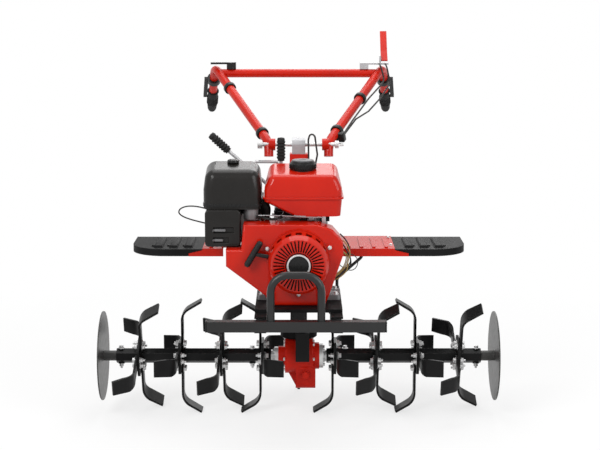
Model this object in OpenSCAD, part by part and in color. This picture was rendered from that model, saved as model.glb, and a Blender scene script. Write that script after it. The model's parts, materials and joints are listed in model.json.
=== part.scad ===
// Walk-behind power tiller with a four-stroke engine, a gear-driven tine rotor and a
// swivelling handlebar. Millimetres, +Z up, floor at z = 0, front of the machine towards -Y.
// Every module is drawn with the tine axle over y = 0; place() then centres the machine.

/* [Tine rotor] */
// Radius that the tine tips sweep
tine_r = 185; // [175:1:195]
// Width of a tine at its cutting end
blade_w = 56; // [46:1:64]
// Width of a tine where it is bolted on
shank_w = 38; // [30:1:44]
// Thickness of the tine steel
blade_t = 7; // [5:0.5:9]
// Radius of the sideways bend in a tine
bend_r = 44; // [38:1:50]
// Angle of the sideways bend in a tine
bend_deg = 60; // [50:1:66]
// Distance from the middle of the machine to the first star of tines
first_star = 117; // [112:1:124]
// Distance between two stars of tines
star_pitch = 133; // [124:1:138]
// Side of the square plate that carries four tines
star_plate = 104; // [94:1:116]
// Thickness of a star plate
plate_t = 8; // [6:0.5:10]
// Angle between neighbouring stars on the tube
star_turn = 21; // [15:1:45]
// Size of the hexagonal tine tube across its flats
hex_af = 42; // [40:1:46]
// Diameter of the output shaft
shaft_d = 30; // [26:1:32]
// Diameter of the guard discs at the ends
disc_d = 288; // [260:1:310]
// Distance from the middle of the machine to a guard disc
disc_x = 634; // [615:1:650]

/* [Gear case] */
// Half the width of the red gear case over its bosses
case_half = 66; // [62:1:68]
// Radius of the round gear case
case_r = 56; // [52:1:60]
// Depth of the sump under the axle
sump_drop = 100; // [92:1:106]
// Height of the case flange above the axle
flange_up = 74; // [70:1:80]
// Radius of the case flange
flange_r = 57; // [50:1:60]

/* [Gearbox] */
// Half the width of the gearbox
box_half = 80; // [74:1:86]
// Depth of the gearbox from front to back
box_depth = 185; // [175:1:195]
// Height of the gearbox
box_h = 295; // [285:1:305]
// Height of the gearbox floor above the axle
box_up = 165; // [158:1:170]
// Width of the column between gearbox and gear case
column_w = 54; // [48:1:58]

/* [Engine] */
// Height of the engine's foot above the axle
bed_up = 210; // [205:1:216]
// Height of the crankshaft above the engine's foot
crank_up = 141; // [136:1:146]
// Front of the recoil starter ahead of the axle
recoil_front = 288; // [280:1:296]
// Outer radius of the recoil starter
recoil_r = 97; // [92:1:100]
// Radius inside which the starter's slots begin
slot_in = 43; // [40:1:46]
// Radius at which the starter's slots end
slot_out = 77; // [74:1:80]
// Number of radial slots in the starter
slot_count = 40; // [32:1:44]
// Thickness of the pressed sheet covers
sheet_t = 2.5; // [2:0.5:3]

/* [Tank and air cleaner] */
// Width of the fuel tank at its seam
tank_w = 244; // [234:1:252]
// Depth of the fuel tank
tank_depth = 195; // [185:1:205]
// Height of the tank above its seam
tank_top = 90; // [84:1:96]
// Height of the tank below its seam
tank_low = 57; // [52:1:62]
// Diameter of the fuel cap
cap_d = 82; // [76:1:86]
// Width of the air cleaner
air_w = 180; // [172:1:186]
// Height of the air cleaner
air_h = 136; // [128:1:144]

/* [Frame] */
// Length of the front bumper bar
bumper_len = 536; // [500:1:560]
// Side of the square bumper tube
bumper_side = 32; // [28:1:34]
// Width of the hoop over its tube
hoop_w = 176; // [166:1:184]
// Height of the hoop above the bumper bar
hoop_h = 152; // [144:1:160]
// Diameter of the hoop's tube
hoop_d = 24; // [22:1:27]
// Width of an engine rail
rail_w = 36; // [32:1:40]
// Distance from the middle to the centre of an engine rail
rail_x = 116; // [112:1:120]

/* [Fenders] */
// Height of the fender's top above the axle
fender_up = 360; // [350:1:372]
// Where the red part of a fender ends
fender_red = 306; // [296:1:316]
// Where the black part of a fender ends
fender_out = 537; // [515:1:552]
// Height of the lip at the front of a fender
lip_h = 25; // [20:1:30]

/* [Handlebar] */
// Diameter of the handlebar tube
tube_d = 31; // [29:1:33]
// Half the width of the handlebar at the grips
bar_half = 304; // [290:1:316]
// Height of the cross tube above the tilt bolt
bar_rise = 230; // [220:1:240]
// Distance of the cross tube behind the tilt bolt
bar_back = 462; // [450:1:475]
// Length of a grip
grip_len = 128; // [118:1:136]
// Diameter of a grip
grip_d = 39; // [37:1:42]
// Diameter of the tilt bolt
bolt_d = 14; // [12:1:16]

/* [Hitch] */
// Diameter of the hitch pin hole
hitch_hole = 20; // [18:0.5:22]
// Width of the drag stake
stake_w = 24; // [22:1:28]
// Thickness of the drag stake
stake_t = 14; // [12:1:16]

/* [Hidden] */
$fn = 48;
// Clearances: shafts and bolts that turn, pieces that slide, parts swept past each other
run_gap = 0.1;
slide_gap = 0.3;
tine_gap = 9;
// Heights
axle_z = tine_r;
flange_z = axle_z + flange_up;
box_z = axle_z + box_up;
box_top = box_z + box_h;
bed_z = axle_z + bed_up;
crank_z = bed_z + crank_up;
bed_t = 10;
// Depths
column_y = 34;
column_d = 72;
block_back = -8;
box_y = 60;
box_back = box_y + box_depth;
// Tines: straight shank, bend, straight end
end_len = 46;
shank_r = tine_r - bend_r*sin(bend_deg) - end_len*cos(bend_deg) - blade_t/2*sin(bend_deg);
star_x = [for (i = [0:3]) first_star + i*star_pitch];
// Rotor tubes
tube_in = case_half + 24;
tube_out = disc_x - 44;
stub_d = 33;
disc_t = 4;
// Engine covers
recoil_back = 205;
shroud_y = -recoil_back;
shroud_back = -120;
block_y = shroud_back;
block_h = 250;
// Tank and air cleaner
tank_x = 14;
tank_y = -52;
seam_z = crank_z + 186;
tank_z = seam_z - tank_low;
cap_x = 13;
cap_y = -60;
air_x = tank_x - tank_w/2 - 8 - air_w/2;
air_z = crank_z + 151;
air_y = -66;
air_depth = 165;
// Frame
rail_h = 50;
rail_z = bed_z - bed_t - rail_h;
bumper_x = -8;
bumper_y = -330;
bumper_z = rail_z + bumper_side/2 + 10;
rail_front = bumper_y + bumper_side/2;
rail_back = box_y + 90;
// Fenders
fender_z = axle_z + fender_up;
fender_in = box_half + 40;
fender_front = -41;
fender_flat = 195;
fender_back = 262;
corner_r = 110;
notch_x = -air_x + 34;
// Handlebar turret
swivel_y = box_back - 49;
tilt_y = swivel_y + 64;
boss_h = 12;
boss_z = box_top + boss_h;
tilt_up = 187;
tilt_z = boss_z + tilt_up;
neck_half = 22;
base_half = 42;
block_r = 24;
sleeve_in = 78;
foot_x = 100;
bar_y = tilt_y + bar_back;
bar_z = tilt_z + bar_rise;
grip_slope = 38;
grip_lead = 150;
cross_back = 48;
// Hitch and stake
stake_y = box_back + 17;
stake_len = 410;
socket_half = 28;
hitch_y = stake_y + 62;
hitch_z = box_z - 78;
hitch_top = box_z - 4;

// Reach of the machine to the front and back, from which it is centred
grip_way = [0.09, cos(grip_slope), -sin(grip_slope)]/norm([0.09, 1]);
grip_tip = grip_d/2 - 6;
reach_front = bumper_y - bumper_side/2;
reach_back = bar_y + (grip_lead + grip_len)*grip_way.y + grip_tip*sqrt(1 - pow(grip_way.y, 2));
axle_y = -(reach_front + reach_back)/2;

// Helpers

// Moves a sub-part from the axle frame to the machine's own frame.
module place() {
    translate([0, axle_y, 0])
        children();
}

// Rectangle with rounded corners, on its centre.
module round_rect(w, h, r) {
    square([w - 2*r, h], center = true);
    square([w, h - 2*r], center = true);
    for (x = [-1, 1], y = [-1, 1])
        translate([x*(w/2 - r), y*(h/2 - r)])
            circle(r);
}

// Extrudes an outline drawn in Y and Z along X.
module along_x(x0, x1) {
    translate([x0, 0, 0])
        rotate([90, 0, 90])
            linear_extrude(x1 - x0)
                children();
}

// Extrudes an outline drawn in X and Z along Y.
module along_y(y0, y1) {
    translate([0, y1, 0])
        rotate([90, 0, 0])
            linear_extrude(y1 - y0)
                children();
}

// Round bar along X, and along Y.
module bar_x(x0, x1, d) {
    translate([x0, 0, 0])
        rotate([0, 90, 0])
            cylinder(d = d, h = x1 - x0);
}

module bar_y(y0, y1, d) {
    translate([0, y0, 0])
        rotate([-90, 0, 0])
            cylinder(d = d, h = y1 - y0);
}

// Turns +Z to a direction and moves to a point.
module aim(p, v) {
    translate(p)
        rotate([0, acos(v.z/norm(v)), atan2(v.y, v.x)])
            children();
}

function unit(v) = v/norm(v);

// Centre line of a path whose inner corners are bent to a radius.
function turn(a, b, c) = acos(unit(b - a)*unit(c - b));
function corner(a, b, c, r, steps) = let(
    u = unit(b - a),
    w = unit(c - b),
    n = unit(w - u*(w*u)),
    t = turn(a, b, c),
    o = b - u*r*tan(t/2) + n*r)
    [for (i = [0:steps]) o - n*r*cos(t*i/steps) + u*r*sin(t*i/steps)];
function bent_line(path, r, steps) = let(n = len(path) - 1) concat(
    [path[0]],
    [for (i = [1:1:n - 1]) each corner(path[i - 1], path[i], path[i + 1], r, steps)],
    [path[n]]);

// Directions along a line, and side vectors that are carried along it without twist.
function heading(line, i) = unit(line[min(i + 1, len(line) - 1)] - line[max(i - 1, 0)]);
function square_to(v, t) = unit(v - t*(v*t));
function any_side(t) = square_to(abs(t.x) > 0.8 ? [0, 1, 0] : [1, 0, 0], t);
function sides_along(line, i = 0, v = [0, 0, 0]) = i == len(line) ? [] : let(
    t = heading(line, i),
    w = i == 0 ? any_side(t) : square_to(v, t))
    concat([w], sides_along(line, i + 1, w));

// Round bar swept along a line.
module swept(line, d, sides) {
    side = sides_along(line);
    last = len(line) - 1;
    rings = [for (i = [0:last], k = [0:sides - 1])
        let(t = heading(line, i), v = cross(t, side[i]))
        line[i] + d/2*(side[i]*cos(360*k/sides) + v*sin(360*k/sides))];
    walls = [for (i = [0:last - 1], k = [0:sides - 1])
        let(m = (k + 1) % sides)
        [i*sides + k, (i + 1)*sides + k, (i + 1)*sides + m, i*sides + m]];
    polyhedron(rings, concat(walls, [[for (k = [0:sides - 1]) k]],
                             [[for (k = [sides - 1:-1:0]) last*sides + k]]), convexity = 6);
}

// Bar bent round the inner points of a path.
module bent_bar(path, d, r) {
    swept(bent_line(path, r, 6), d, 16);
}

// Bent sheet: a line of points in the plane, thickened to its right-hand side.
function right_of(a, b) = [b.y - a.y, a.x - b.x]/norm(b - a);
function inset(p, t) = [for (i = [0:len(p) - 1])
    let(m = right_of(p[max(i - 1, 0)], p[max(i, 1)]),
        n = i < len(p) - 1 ? right_of(p[i], p[i + 1]) : m)
    p[i] + (m + n)/(1 + m*n)*t];

module sheet(p, t) {
    q = inset(p, t);
    polygon(concat(p, [for (i = [len(p) - 1:-1:0]) q[i]]));
}

// Closed outline, listed clockwise, moved inwards.
function shrunk(p, t) = let(n = len(p)) [for (i = [0:n - 1])
    let(a = right_of(p[(i + n - 1) % n], p[i]),
        b = right_of(p[i], p[(i + 1) % n]))
    p[i] + (a + b)/(1 + a*b)*t];

// Gear case and gearbox

// Red cast case round the final drive, with a sump below and a neck above.
module gear_case() {
    color("firebrick")
        difference() {
            union() {
                translate([0, 0, axle_z])
                    bar_x(-44, 46, 2*case_r);
                translate([0, 0, axle_z])
                    bar_x(-case_half, 0, 62);
                translate([0, 0, axle_z])
                    bar_x(0, case_half, 86);
                along_x(-10, 54)
                    translate([0, axle_z - sump_drop + 44])
                        round_rect(96, 88, 20);
                along_y(-20, 20)
                    polygon([[-44, axle_z - 30], [-10, axle_z - sump_drop + 6], [0, axle_z]]);
                translate([0, column_y, axle_z])
                    cylinder(d = 84, h = flange_up - 12);
                translate([0, column_y, flange_z - 14])
                    cylinder(r = flange_r, h = 14);
            }
            translate([0, 0, axle_z])
                bar_x(-case_half - 1, case_half + 1, shaft_d + 2*run_gap);
        }
}

// Grey caps over the axle bearings.
module bearing_caps() {
    color("silver")
        translate([0, 0, axle_z])
            difference() {
                union() {
                    bar_x(-case_half - 12, -case_half, 58);
                    bar_x(case_half, case_half + 13, 80);
                }
                bar_x(-case_half - 13, case_half + 14, shaft_d + 2*run_gap);
            }
}

// Black plate that keeps stalks off the front of the case.
module case_guard() {
    color("dimgray")
        along_x(-10, 34)
            sheet([[column_y - column_d/2 - 2, flange_z + 12], [-case_r - 8, flange_z + 12],
                   [-case_r - 8, axle_z - 4]], 4);
}

// Black cast gearbox with the column that leads down to the gear case.
module gearbox() {
    color("darkslategray") {
        difference() {
            union() {
                difference() {
                    translate([0, box_y + box_depth/2, box_z])
                        linear_extrude(box_h)
                            round_rect(2*box_half, box_depth, 24);
                    translate([0, 0, axle_z])
                        bar_x(-box_half - 1, box_half + 1, 2*(tine_r + tine_gap));
                }
                translate([0, column_y, flange_z + 10])
                    linear_extrude(bed_z - bed_t - flange_z - 11)
                        round_rect(column_w, column_d, 12);
                translate([0, column_y, flange_z])
                    cylinder(r = flange_r, h = 12);
                translate([0, 0, crank_z])
                    bar_y(box_y - 14, box_y + 4, 150);
                translate([0, swivel_y, box_top - 1])
                    cylinder(d = 96, h = boss_h + 1);
            }
            translate([0, swivel_y, box_top - 30])
                cylinder(d = 30 + 2*run_gap, h = boss_h + 31);
        }
    }
}

// Bell housing between the engine and the gearbox.
module clutch_housing() {
    color("gray")
        translate([0, 0, crank_z]) {
            bar_y(block_back, block_back + 14, 170);
            bar_y(block_back + 14, box_y - 14, 140);
        }
}

// Engine

// Crankcase with its mounting foot.
module engine_block() {
    color("lightgray") {
        translate([4, 0, 0])
            along_y(block_y, block_back)
                translate([0, bed_z + block_h/2])
                    round_rect(176, block_h, 18);
        translate([0, (block_y + block_back)/2, bed_z])
            linear_extrude(16)
                round_rect(2*rail_x + rail_w - 8, block_back - block_y, 8);
    }
}

// Finned cylinder that leans out to the left of the crankcase.
module cylinder_at() {
    translate([0, block_back - 46, crank_z])
        rotate([0, 25, 0])
            children();
}

module cylinder_barrel() {
    cylinder_at() {
        translate([-152, 0, 0])
            cube([126, 62, 84], center = true);
        for (i = [0:6])
            translate([-98 - i*15, 0, 0])
                cube([4, 76, 118], center = true);
    }
}

module engine_cylinder() {
    color("gray")
        difference() {
            cylinder_barrel();
            engine_block();
        }
}

// Pressed cover over the valves.
module valve_cover() {
    color("black")
        cylinder_at()
            translate([-215, 0, 0])
                rotate([0, -90, 0])
                    linear_extrude(26)
                        round_rect(104, 70, 14);
}

// Outline of the red fan shroud, seen from the front.
shroud_line = [[-88, -crank_up], [-104, -109], [-224, -18], [-224, 35], [air_x + 29, 35],
               [air_x + 36, 112], [60, 112], [104, 98], [136, 62], [138, 20], [94, -109], [80, -crank_up]];

module shroud_outline(in) {
    polygon(shrunk(shroud_line, in));
}

// Fan shroud: a pressed red shell, open to the engine behind it.
module fan_shroud() {
    color("red")
        translate([0, 0, crank_z])
            difference() {
                along_y(shroud_y, shroud_back)
                    shroud_outline(0);
                along_y(shroud_y + sheet_t, shroud_back + 1)
                    shroud_outline(sheet_t);
                bar_y(shroud_y - 1, shroud_y + sheet_t + 1, 2*recoil_r - 24);
            }
}

// Recoil starter: a turned cover with radial slots in its face.
module recoil_starter() {
    color("red")
        translate([0, 0, crank_z])
            difference() {
                rotate([90, 0, 0])
                    rotate_extrude()
                        polygon([[0, recoil_front - 12], [slot_in - 5, recoil_front - 12],
                                 [slot_in - 2, recoil_front - 2], [slot_out + 3, recoil_front],
                                 [slot_out + 8, recoil_front - 8], [recoil_r - 6, recoil_front - 20],
                                 [recoil_r - 2, recoil_back + 8], [recoil_r, recoil_back + 8],
                                 [recoil_r, recoil_back], [recoil_r - 6, recoil_back],
                                 [recoil_r - 9, recoil_front - 23], [slot_out + 5, recoil_front - 11],
                                 [slot_out + 1, recoil_front - 4], [slot_in - 4, recoil_front - 6],
                                 [slot_in - 7, recoil_front - 16], [0, recoil_front - 16]]);
                for (i = [0:slot_count - 1])
                    rotate([0, i*360/slot_count, 0])
                        translate([slot_in, -recoil_front - 2, -2])
                            cube([slot_out - slot_in, 12, 4]);
                for (a = [-60:20:60])
                    rotate([0, a, 0])
                        translate([-9, -recoil_front + 30, recoil_r - 14])
                            cube([18, 32, 20]);
            }
}

// Blank black disc in the middle of the starter.
module starter_cap() {
    color("black")
        translate([0, 0, crank_z])
            rotate([90, 0, 0])
                translate([0, 0, recoil_front - 12])
                    rotate_extrude()
                        polygon([[0, 0], [31, 0], [31, 9], [29, 11], [0, 11]]);
}

// Starter handle on its short cord guide, which points at the crankshaft.
module pull_handle() {
    low = [-156, -225, crank_z - 4];
    high = [-120, -225, crank_z + 56];
    middle = (low + high)/2;
    inward = [0, -225, crank_z] - middle;
    color("black") {
        aim(low, high - low)
            rotate_extrude()
                polygon([[0, -10], [6, -10], [10, -4], [10, norm(high - low) + 4],
                         [6, norm(high - low) + 10], [0, norm(high - low) + 10]]);
        aim(middle, inward)
            cylinder(d = 13, h = norm(inward) - recoil_r + 2.4);
    }
}

// Tank

module tank_upper(in) {
    z = tank_top - in;
    hull() {
        for (x = [-1, 1], y = [-1, 1])
            translate([x*(tank_w/2 - 24), y*(tank_depth/2 - 24), 0])
                cylinder(r = 22 - in, h = 30, $fn = 32);
        for (x = [-1, 1])
            translate([x*(tank_w/2 - 36), tank_depth/2 - 40, z - 24])
                sphere(r = 24, $fn = 32);
        for (x = [-1, 1])
            translate([x*(tank_w/2 - 36), -tank_depth/2 + 30, z - 42])
                sphere(r = 24, $fn = 32);
    }
}

module tank_lower(in) {
    hull() {
        for (x = [-1, 1], y = [-1, 1])
            translate([x*(tank_w/2 - 24), y*(tank_depth/2 - 24), -12])
                cylinder(r = 22 - in, h = 12, $fn = 32);
        for (y = [-1, 1])
            translate([tank_w/2 - 30, y*(tank_depth/2 - 30), -tank_low + in])
                cylinder(r = 24 - in, h = 10, $fn = 32);
        for (y = [-1, 1])
            translate([-10, y*(tank_depth/2 - 30), -tank_low + in])
                cylinder(r = 24 - in, h = 10, $fn = 32);
    }
}

// Red fuel tank: a hollow shell with a seam round its middle and an open filler neck.
module fuel_tank() {
    color("red")
        difference() {
            translate([tank_x, tank_y, seam_z]) {
                tank_upper(0);
                tank_lower(0);
                translate([0, 0, -3])
                    linear_extrude(6)
                        round_rect(tank_w + 4, tank_depth + 4, 24);
            }
            translate([tank_x, tank_y, seam_z]) {
                tank_upper(3);
                tank_lower(3);
            }
            translate([cap_x, cap_y, seam_z])
                cylinder(d = 44, h = tank_top + 20);
        }
}

// Screw cap on the filler neck.
module fuel_cap() {
    color("dimgray")
        translate([cap_x, cap_y, seam_z + tank_top - 16])
            difference() {
                rotate_extrude()
                    polygon([[0, 0], [cap_d/2 - 5, 0], [cap_d/2 - 5, 6], [cap_d/2, 8], [cap_d/2, 24],
                             [cap_d/2 - 5, 32], [0, 35]]);
                translate([tank_x - cap_x, tank_y - cap_y, 16 - tank_top])
                    tank_upper(0);
            }
}

// Two brackets that carry the tank on the engine.
module tank_mounts() {
    color("dimgray")
        for (x = [20, 82])
            translate([x - 14, block_y + 6, bed_z + block_h])
                cube([28, 70, tank_z - bed_z - block_h]);
}

// Air cleaner and carburettor

// Black air cleaner cover with a domed top.
module air_cleaner() {
    color("black")
        translate([air_x, air_y, air_z])
            hull() {
                for (x = [-1, 1], y = [-1, 1])
                    translate([x*(air_w/2 - 30), y*(air_depth/2 - 34), 0])
                        cylinder(r = 30, h = 60, $fn = 32);
                for (x = [-1, 1])
                    translate([x*(air_w/2 - 36), air_depth/2 - 44, air_h - 32])
                        sphere(r = 32, $fn = 32);
                for (x = [-1, 1])
                    translate([x*(air_w/2 - 36), -air_depth/2 + 40, air_h - 46])
                        sphere(r = 32, $fn = 32);
            }
}

// Black box below the air cleaner with the choke and fuel levers.
module control_box() {
    color("black")
        difference() {
            translate([air_x - 29, 0, 0])
                along_y(-165, -100)
                    translate([0, air_z - 57])
                        round_rect(110, 114, 12);
            translate([air_x - 56, -170, air_z - 70])
                cube([60, 14, 16]);
            translate([air_x - 56, -170, air_z - 100])
                cube([44, 12, 14]);
        }
}

// Carburettor between air cleaner and cylinder head.
module carburettor() {
    color("silver") {
        translate([air_x + 58, -116, air_z - 34])
            cylinder(d = 44, h = 34);
        translate([air_x + 58, 0, air_z - 22])
            bar_y(-116, block_back - 84, 26);
    }
}

// Silencer behind the cylinder: a hollow drum with an inlet and a tail pipe.
module muffler() {
    color("dimgray")
        difference() {
            union() {
                translate([-196, 0, crank_z + 118])
                    along_y(18, 122)
                        round_rect(178, 112, 30);
                translate([-150, 0, crank_z + 96])
                    bar_y(block_back - 8, 20, 34);
                translate([-250, 0, crank_z + 130])
                    bar_y(120, 150, 28);
            }
            translate([-196, 0, crank_z + 118])
                along_y(21, 119)
                    round_rect(172, 106, 27);
            translate([-250, 0, crank_z + 130])
                bar_y(110, 151, 23);
        }
}

// Frame

// Pair of channel rails under the engine.
module rails() {
    color("black")
        for (s = [-1, 1])
            translate([s*rail_x, 0, rail_z])
                difference() {
                    translate([-rail_w/2, rail_front, 0])
                        cube([rail_w, rail_back - rail_front, rail_h]);
                    translate([s > 0 ? -rail_w/2 + 6 : -rail_w/2 - 1, rail_front - 1, 6])
                        cube([rail_w - 5, rail_back - rail_front + 2, rail_h - 12]);
                    translate([-rail_w, -tine_r + 60, -1])
                        cube([2*rail_w, 2*tine_r - 120, axle_z + tine_r + tine_gap - rail_z + 1]);
                }
}

// Plate that the engine is bolted to, with the cheeks that hold it on the gearbox.
module engine_bed() {
    color("black") {
        translate([-rail_x - rail_w/2, rail_front + 60, bed_z - bed_t])
            cube([2*rail_x + rail_w, box_y - rail_front - 60, bed_t]);
        for (s = [-1, 1])
            translate([s*(box_half + 6) - 6, box_y, bed_z - bed_t])
                cube([12, 90, 60]);
    }
}

// Square tube across the front, with the round hoop that guards the starter.
module bumper() {
    x = hoop_w/2 - hoop_d/2;
    z0 = bumper_side/2 - 2;
    z1 = bumper_side/2 + hoop_h - hoop_d/2;
    color("black")
        translate([bumper_x, bumper_y, bumper_z]) {
            difference() {
                cube([bumper_len, bumper_side, bumper_side], center = true);
                cube([bumper_len + 2, bumper_side - 6, bumper_side - 6], center = true);
            }
            bent_bar([[-x, 0, z0], [-x, 0, z1], [x, 0, z1], [x, 0, z0]], hoop_d, 52);
        }
}

// Fenders, drawn for the right-hand side

fender_line = [[fender_front, fender_z - lip_h], [fender_front, fender_z], [fender_flat, fender_z],
               [fender_back, fender_z - 34]];

module fender_red() {
    along_x(fender_in, fender_red)
        sheet(fender_line, sheet_t);
    along_y(fender_front, fender_front + sheet_t)
        polygon([[fender_red - 1, fender_z - lip_h], [fender_red - 1, fender_z - 5],
                 [fender_red + 44, fender_z - 16], [fender_red + 44, fender_z - lip_h]]);
    for (i = [0:3])
        translate([fender_in + 40 + i*40, (fender_front + fender_flat)/2 - 10, fender_z - 0.5])
            linear_extrude(3.5)
                round_rect(12, fender_flat - fender_front - 56, 5);
    // Angle that bolts the fender to the side of the gearbox
    translate([box_half, 80, fender_z - 40])
        cube([8, 100, 40 - sheet_t]);
    translate([box_half, 80, fender_z - sheet_t - 8])
        cube([fender_in + 30 - box_half, 100, 8.5]);
}

module fender_black() {
    difference() {
        along_x(fender_red - 36, fender_out)
            sheet(inset(fender_line, sheet_t), sheet_t);
        translate([fender_out - corner_r, fender_front - 1, fender_z - lip_h - 1])
            difference() {
                cube([corner_r + 2, corner_r + 1 + sheet_t, lip_h + 2]);
                translate([0, corner_r + 1 + sheet_t, -1])
                    cylinder(r = corner_r, h = lip_h + 4, $fn = 96);
            }
    }
    translate([fender_out - corner_r, fender_front + corner_r + sheet_t, fender_z - lip_h])
        rotate([0, 0, -90])
            rotate_extrude(angle = 90, $fn = 96)
                translate([corner_r - sheet_t, 0])
                    square([sheet_t, lip_h - sheet_t]);
    translate([fender_out - sheet_t, fender_front + corner_r + sheet_t, fender_z - lip_h])
        cube([sheet_t, fender_flat - fender_front - corner_r - 4, lip_h - sheet_t]);
    for (i = [0:2])
        translate([fender_red + 60 + i*50, (fender_front + fender_flat)/2 + 12, fender_z - sheet_t - 0.5])
            linear_extrude(4)
                round_rect(14, fender_flat - fender_front - 86, 6);
}

// Red parts. The left one is cut back behind the cylinder.
module fenders_inner() {
    color("red") {
        fender_red();
        difference() {
            mirror([1, 0, 0])
                fender_red();
            translate([-notch_x, fender_front - 1, fender_z - lip_h - 35])
                cube([notch_x, block_back - fender_front, lip_h + 55]);
        }
    }
}

// Black parts.
module fenders_outer() {
    color("black")
        for (s = [0, 1])
            mirror([s, 0, 0])
                fender_black();
}

// Rods from the engine bed to the fenders.
module fender_stays() {
    color("black")
        for (s = [-1, 1])
            bent_bar([[s*(rail_x + 8), 30, bed_z], [s*(rail_x + 8), 30, bed_z + 40],
                      [s*(fender_in + 84), 30, fender_z - 40],
                      [s*(fender_in + 84), 30, fender_z - sheet_t]], 10, 18);
}

// Levers

shift_low = [-50, 150, box_top];
shift_high = [-282, 150, box_top + 246];
range_low = [-57, 84, box_top];
range_high = [-57, 84, box_top + 240];

// Rods of the gear lever and the range lever.
module shift_levers() {
    color("gray") {
        bent_bar([shift_low, shift_low + [0, 0, 34], shift_high - unit(shift_high - shift_low)*78],
                 12, 24);
        translate(range_low)
            cylinder(d = 12, h = norm(range_high - range_low) - 74);
        translate(shift_low)
            cylinder(d = 34, h = 12);
        translate(range_low)
            cylinder(d = 34, h = 12);
    }
}

// Ribbed grip, standing on the end of its rod.
module ribbed_grip(len) {
    rotate_extrude()
        polygon(concat([[0, 0], [11, 0]],
            [for (i = [0:5]) each [[11, 6 + i*10], [14, 8 + i*10], [14, 13 + i*10], [11, 15 + i*10]]],
            [[13, len - 10], [11, len - 2], [0, len]]));
}

module shift_grips() {
    color("black") {
        aim(shift_high - unit(shift_high - shift_low)*78, shift_high - shift_low - [0, 0, 34])
            ribbed_grip(82);
        translate(range_high - [0, 0, 74])
            ribbed_grip(76);
    }
}

// Slotted grey plate that guides the gear lever.
module shift_gate() {
    color("silver")
        difference() {
            union() {
                translate([-76, 108, box_top])
                    cube([10, 22, 162]);
                translate([-142, 96, box_top + 156])
                    cube([76, 40, 6]);
            }
            translate([-130, 108, box_top + 150])
                cube([40, 14, 20]);
        }
}

// Hitch and drag stake

// Cast drawbar with a square socket for the stake and a clevis behind it.
module hitch() {
    color("black")
        difference() {
            union() {
                translate([-22, column_y + column_d/2, hitch_z + 16])
                    cube([44, stake_y - column_y - column_d/2, hitch_top - hitch_z - 32]);
                translate([0, stake_y, hitch_z])
                    linear_extrude(hitch_top - hitch_z)
                        round_rect(2*socket_half, 60, 8);
                translate([-socket_half, stake_y, hitch_z])
                    cube([2*socket_half, hitch_y - stake_y, hitch_top - hitch_z]);
                translate([0, hitch_y, hitch_z])
                    cylinder(r = socket_half, h = hitch_top - hitch_z);
            }
            translate([0, stake_y, hitch_z - 1])
                linear_extrude(hitch_top - hitch_z + 2)
                    square([stake_w + 2*slide_gap, stake_t + 2*slide_gap], center = true);
            translate([-socket_half - 1, stake_y + 26, hitch_z + 18])
                cube([2*socket_half + 2, hitch_y, hitch_top - hitch_z - 36]);
            translate([0, hitch_y, hitch_z - 1])
                cylinder(d = hitch_hole, h = hitch_top - hitch_z + 2);
        }
}

// Pointed bar that digs in behind the tines and sets their depth.
module drag_stake() {
    color("dimgray")
        translate([0, stake_y, 0])
            difference() {
                along_y(-stake_t/2, stake_t/2)
                    polygon([[-4, 0], [4, 0], [stake_w/2, 34], [stake_w/2, stake_len],
                             [-stake_w/2, stake_len], [-stake_w/2, 34]]);
                for (i = [0:3])
                    translate([0, 0, 90 + i*40])
                        bar_y(-stake_t, stake_t, 9);
            }
}

// Tine rotor

// Output shaft with its ends inside the tine tubes.
module tine_shaft() {
    color("silver")
        translate([0, 0, axle_z]) {
            bar_x(-tube_in - 90, tube_in + 90, shaft_d);
            for (s = [-1, 1])
                translate([s*(tube_in - 3), 0, 0])
                    bar_x(-3, 3, shaft_d + 8);
        }
}

// Hexagonal tubes that carry the stars, left and right.
module hexagon(af) {
    rotate(30)
        circle(d = af/cos(30), $fn = 6);
}

module tine_tubes() {
    color("dimgray")
        translate([0, 0, axle_z])
            for (s = [-1, 1])
                mirror([s < 0 ? 1 : 0, 0, 0]) {
                    difference() {
                        along_x(tube_in, tube_out)
                            hexagon(hex_af);
                        bar_x(tube_in - 1, tube_out - 20, shaft_d + 2*slide_gap);
                    }
                }
}

// One tine: a flat bar, bent to the side at its outer end. Drawn upwards, bent towards +X.
module tine_edge() {
    centre = [bend_r + blade_t/2, shank_r];
    out = bend_r + blade_t/2;
    in = bend_r - blade_t/2;
    from = [-cos(bend_deg), sin(bend_deg)];
    along = [sin(bend_deg), cos(bend_deg)];
    difference() {
        union() {
            polygon([[0, 24], [0, shank_r], centre + from*out, centre + from*out + along*end_len,
                     centre + from*in + along*end_len, centre + from*in, [blade_t, shank_r], [blade_t, 24]]);
            translate(centre)
                intersection() {
                    circle(out);
                    polygon([[0, 0], [-2*out, 0], from*2*out]);
                }
        }
        translate(centre)
            circle(in);
    }
}

module tine() {
    intersection() {
        along_y(-blade_w, blade_w)
            tine_edge();
        along_x(-1, 120)
            polygon([[-shank_w/2, 0], [-shank_w/2, shank_r - 10], [-blade_w/2 - 2, shank_r + 34],
                     [-blade_w/2 + 6, tine_r + 6], [blade_w/2, tine_r + 6], [blade_w/2, shank_r + 40],
                     [shank_w/2, shank_r]]);
    }
}

// Four tines on a square plate. Two are bent one way and two the other.
module tine_star(x, turned, way) {
    color("black")
        translate([x, 0, axle_z])
            rotate([turned, 0, 0])
                difference() {
                    union() {
                        along_x(-plate_t/2, plate_t/2)
                            round_rect(star_plate, star_plate, 14);
                        for (i = [0:3])
                            rotate([i*90, 0, 0])
                                mirror([way*(i % 2 == 0 ? 1 : -1) < 0 ? 1 : 0, 0, 0])
                                    translate([plate_t/2 - 0.5, 0, 0])
                                        tine();
                    }
                    rotate([-turned, 0, 0])
                        along_x(-plate_t*3, plate_t*3)
                            hexagon(hex_af);
                }
}

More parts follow.
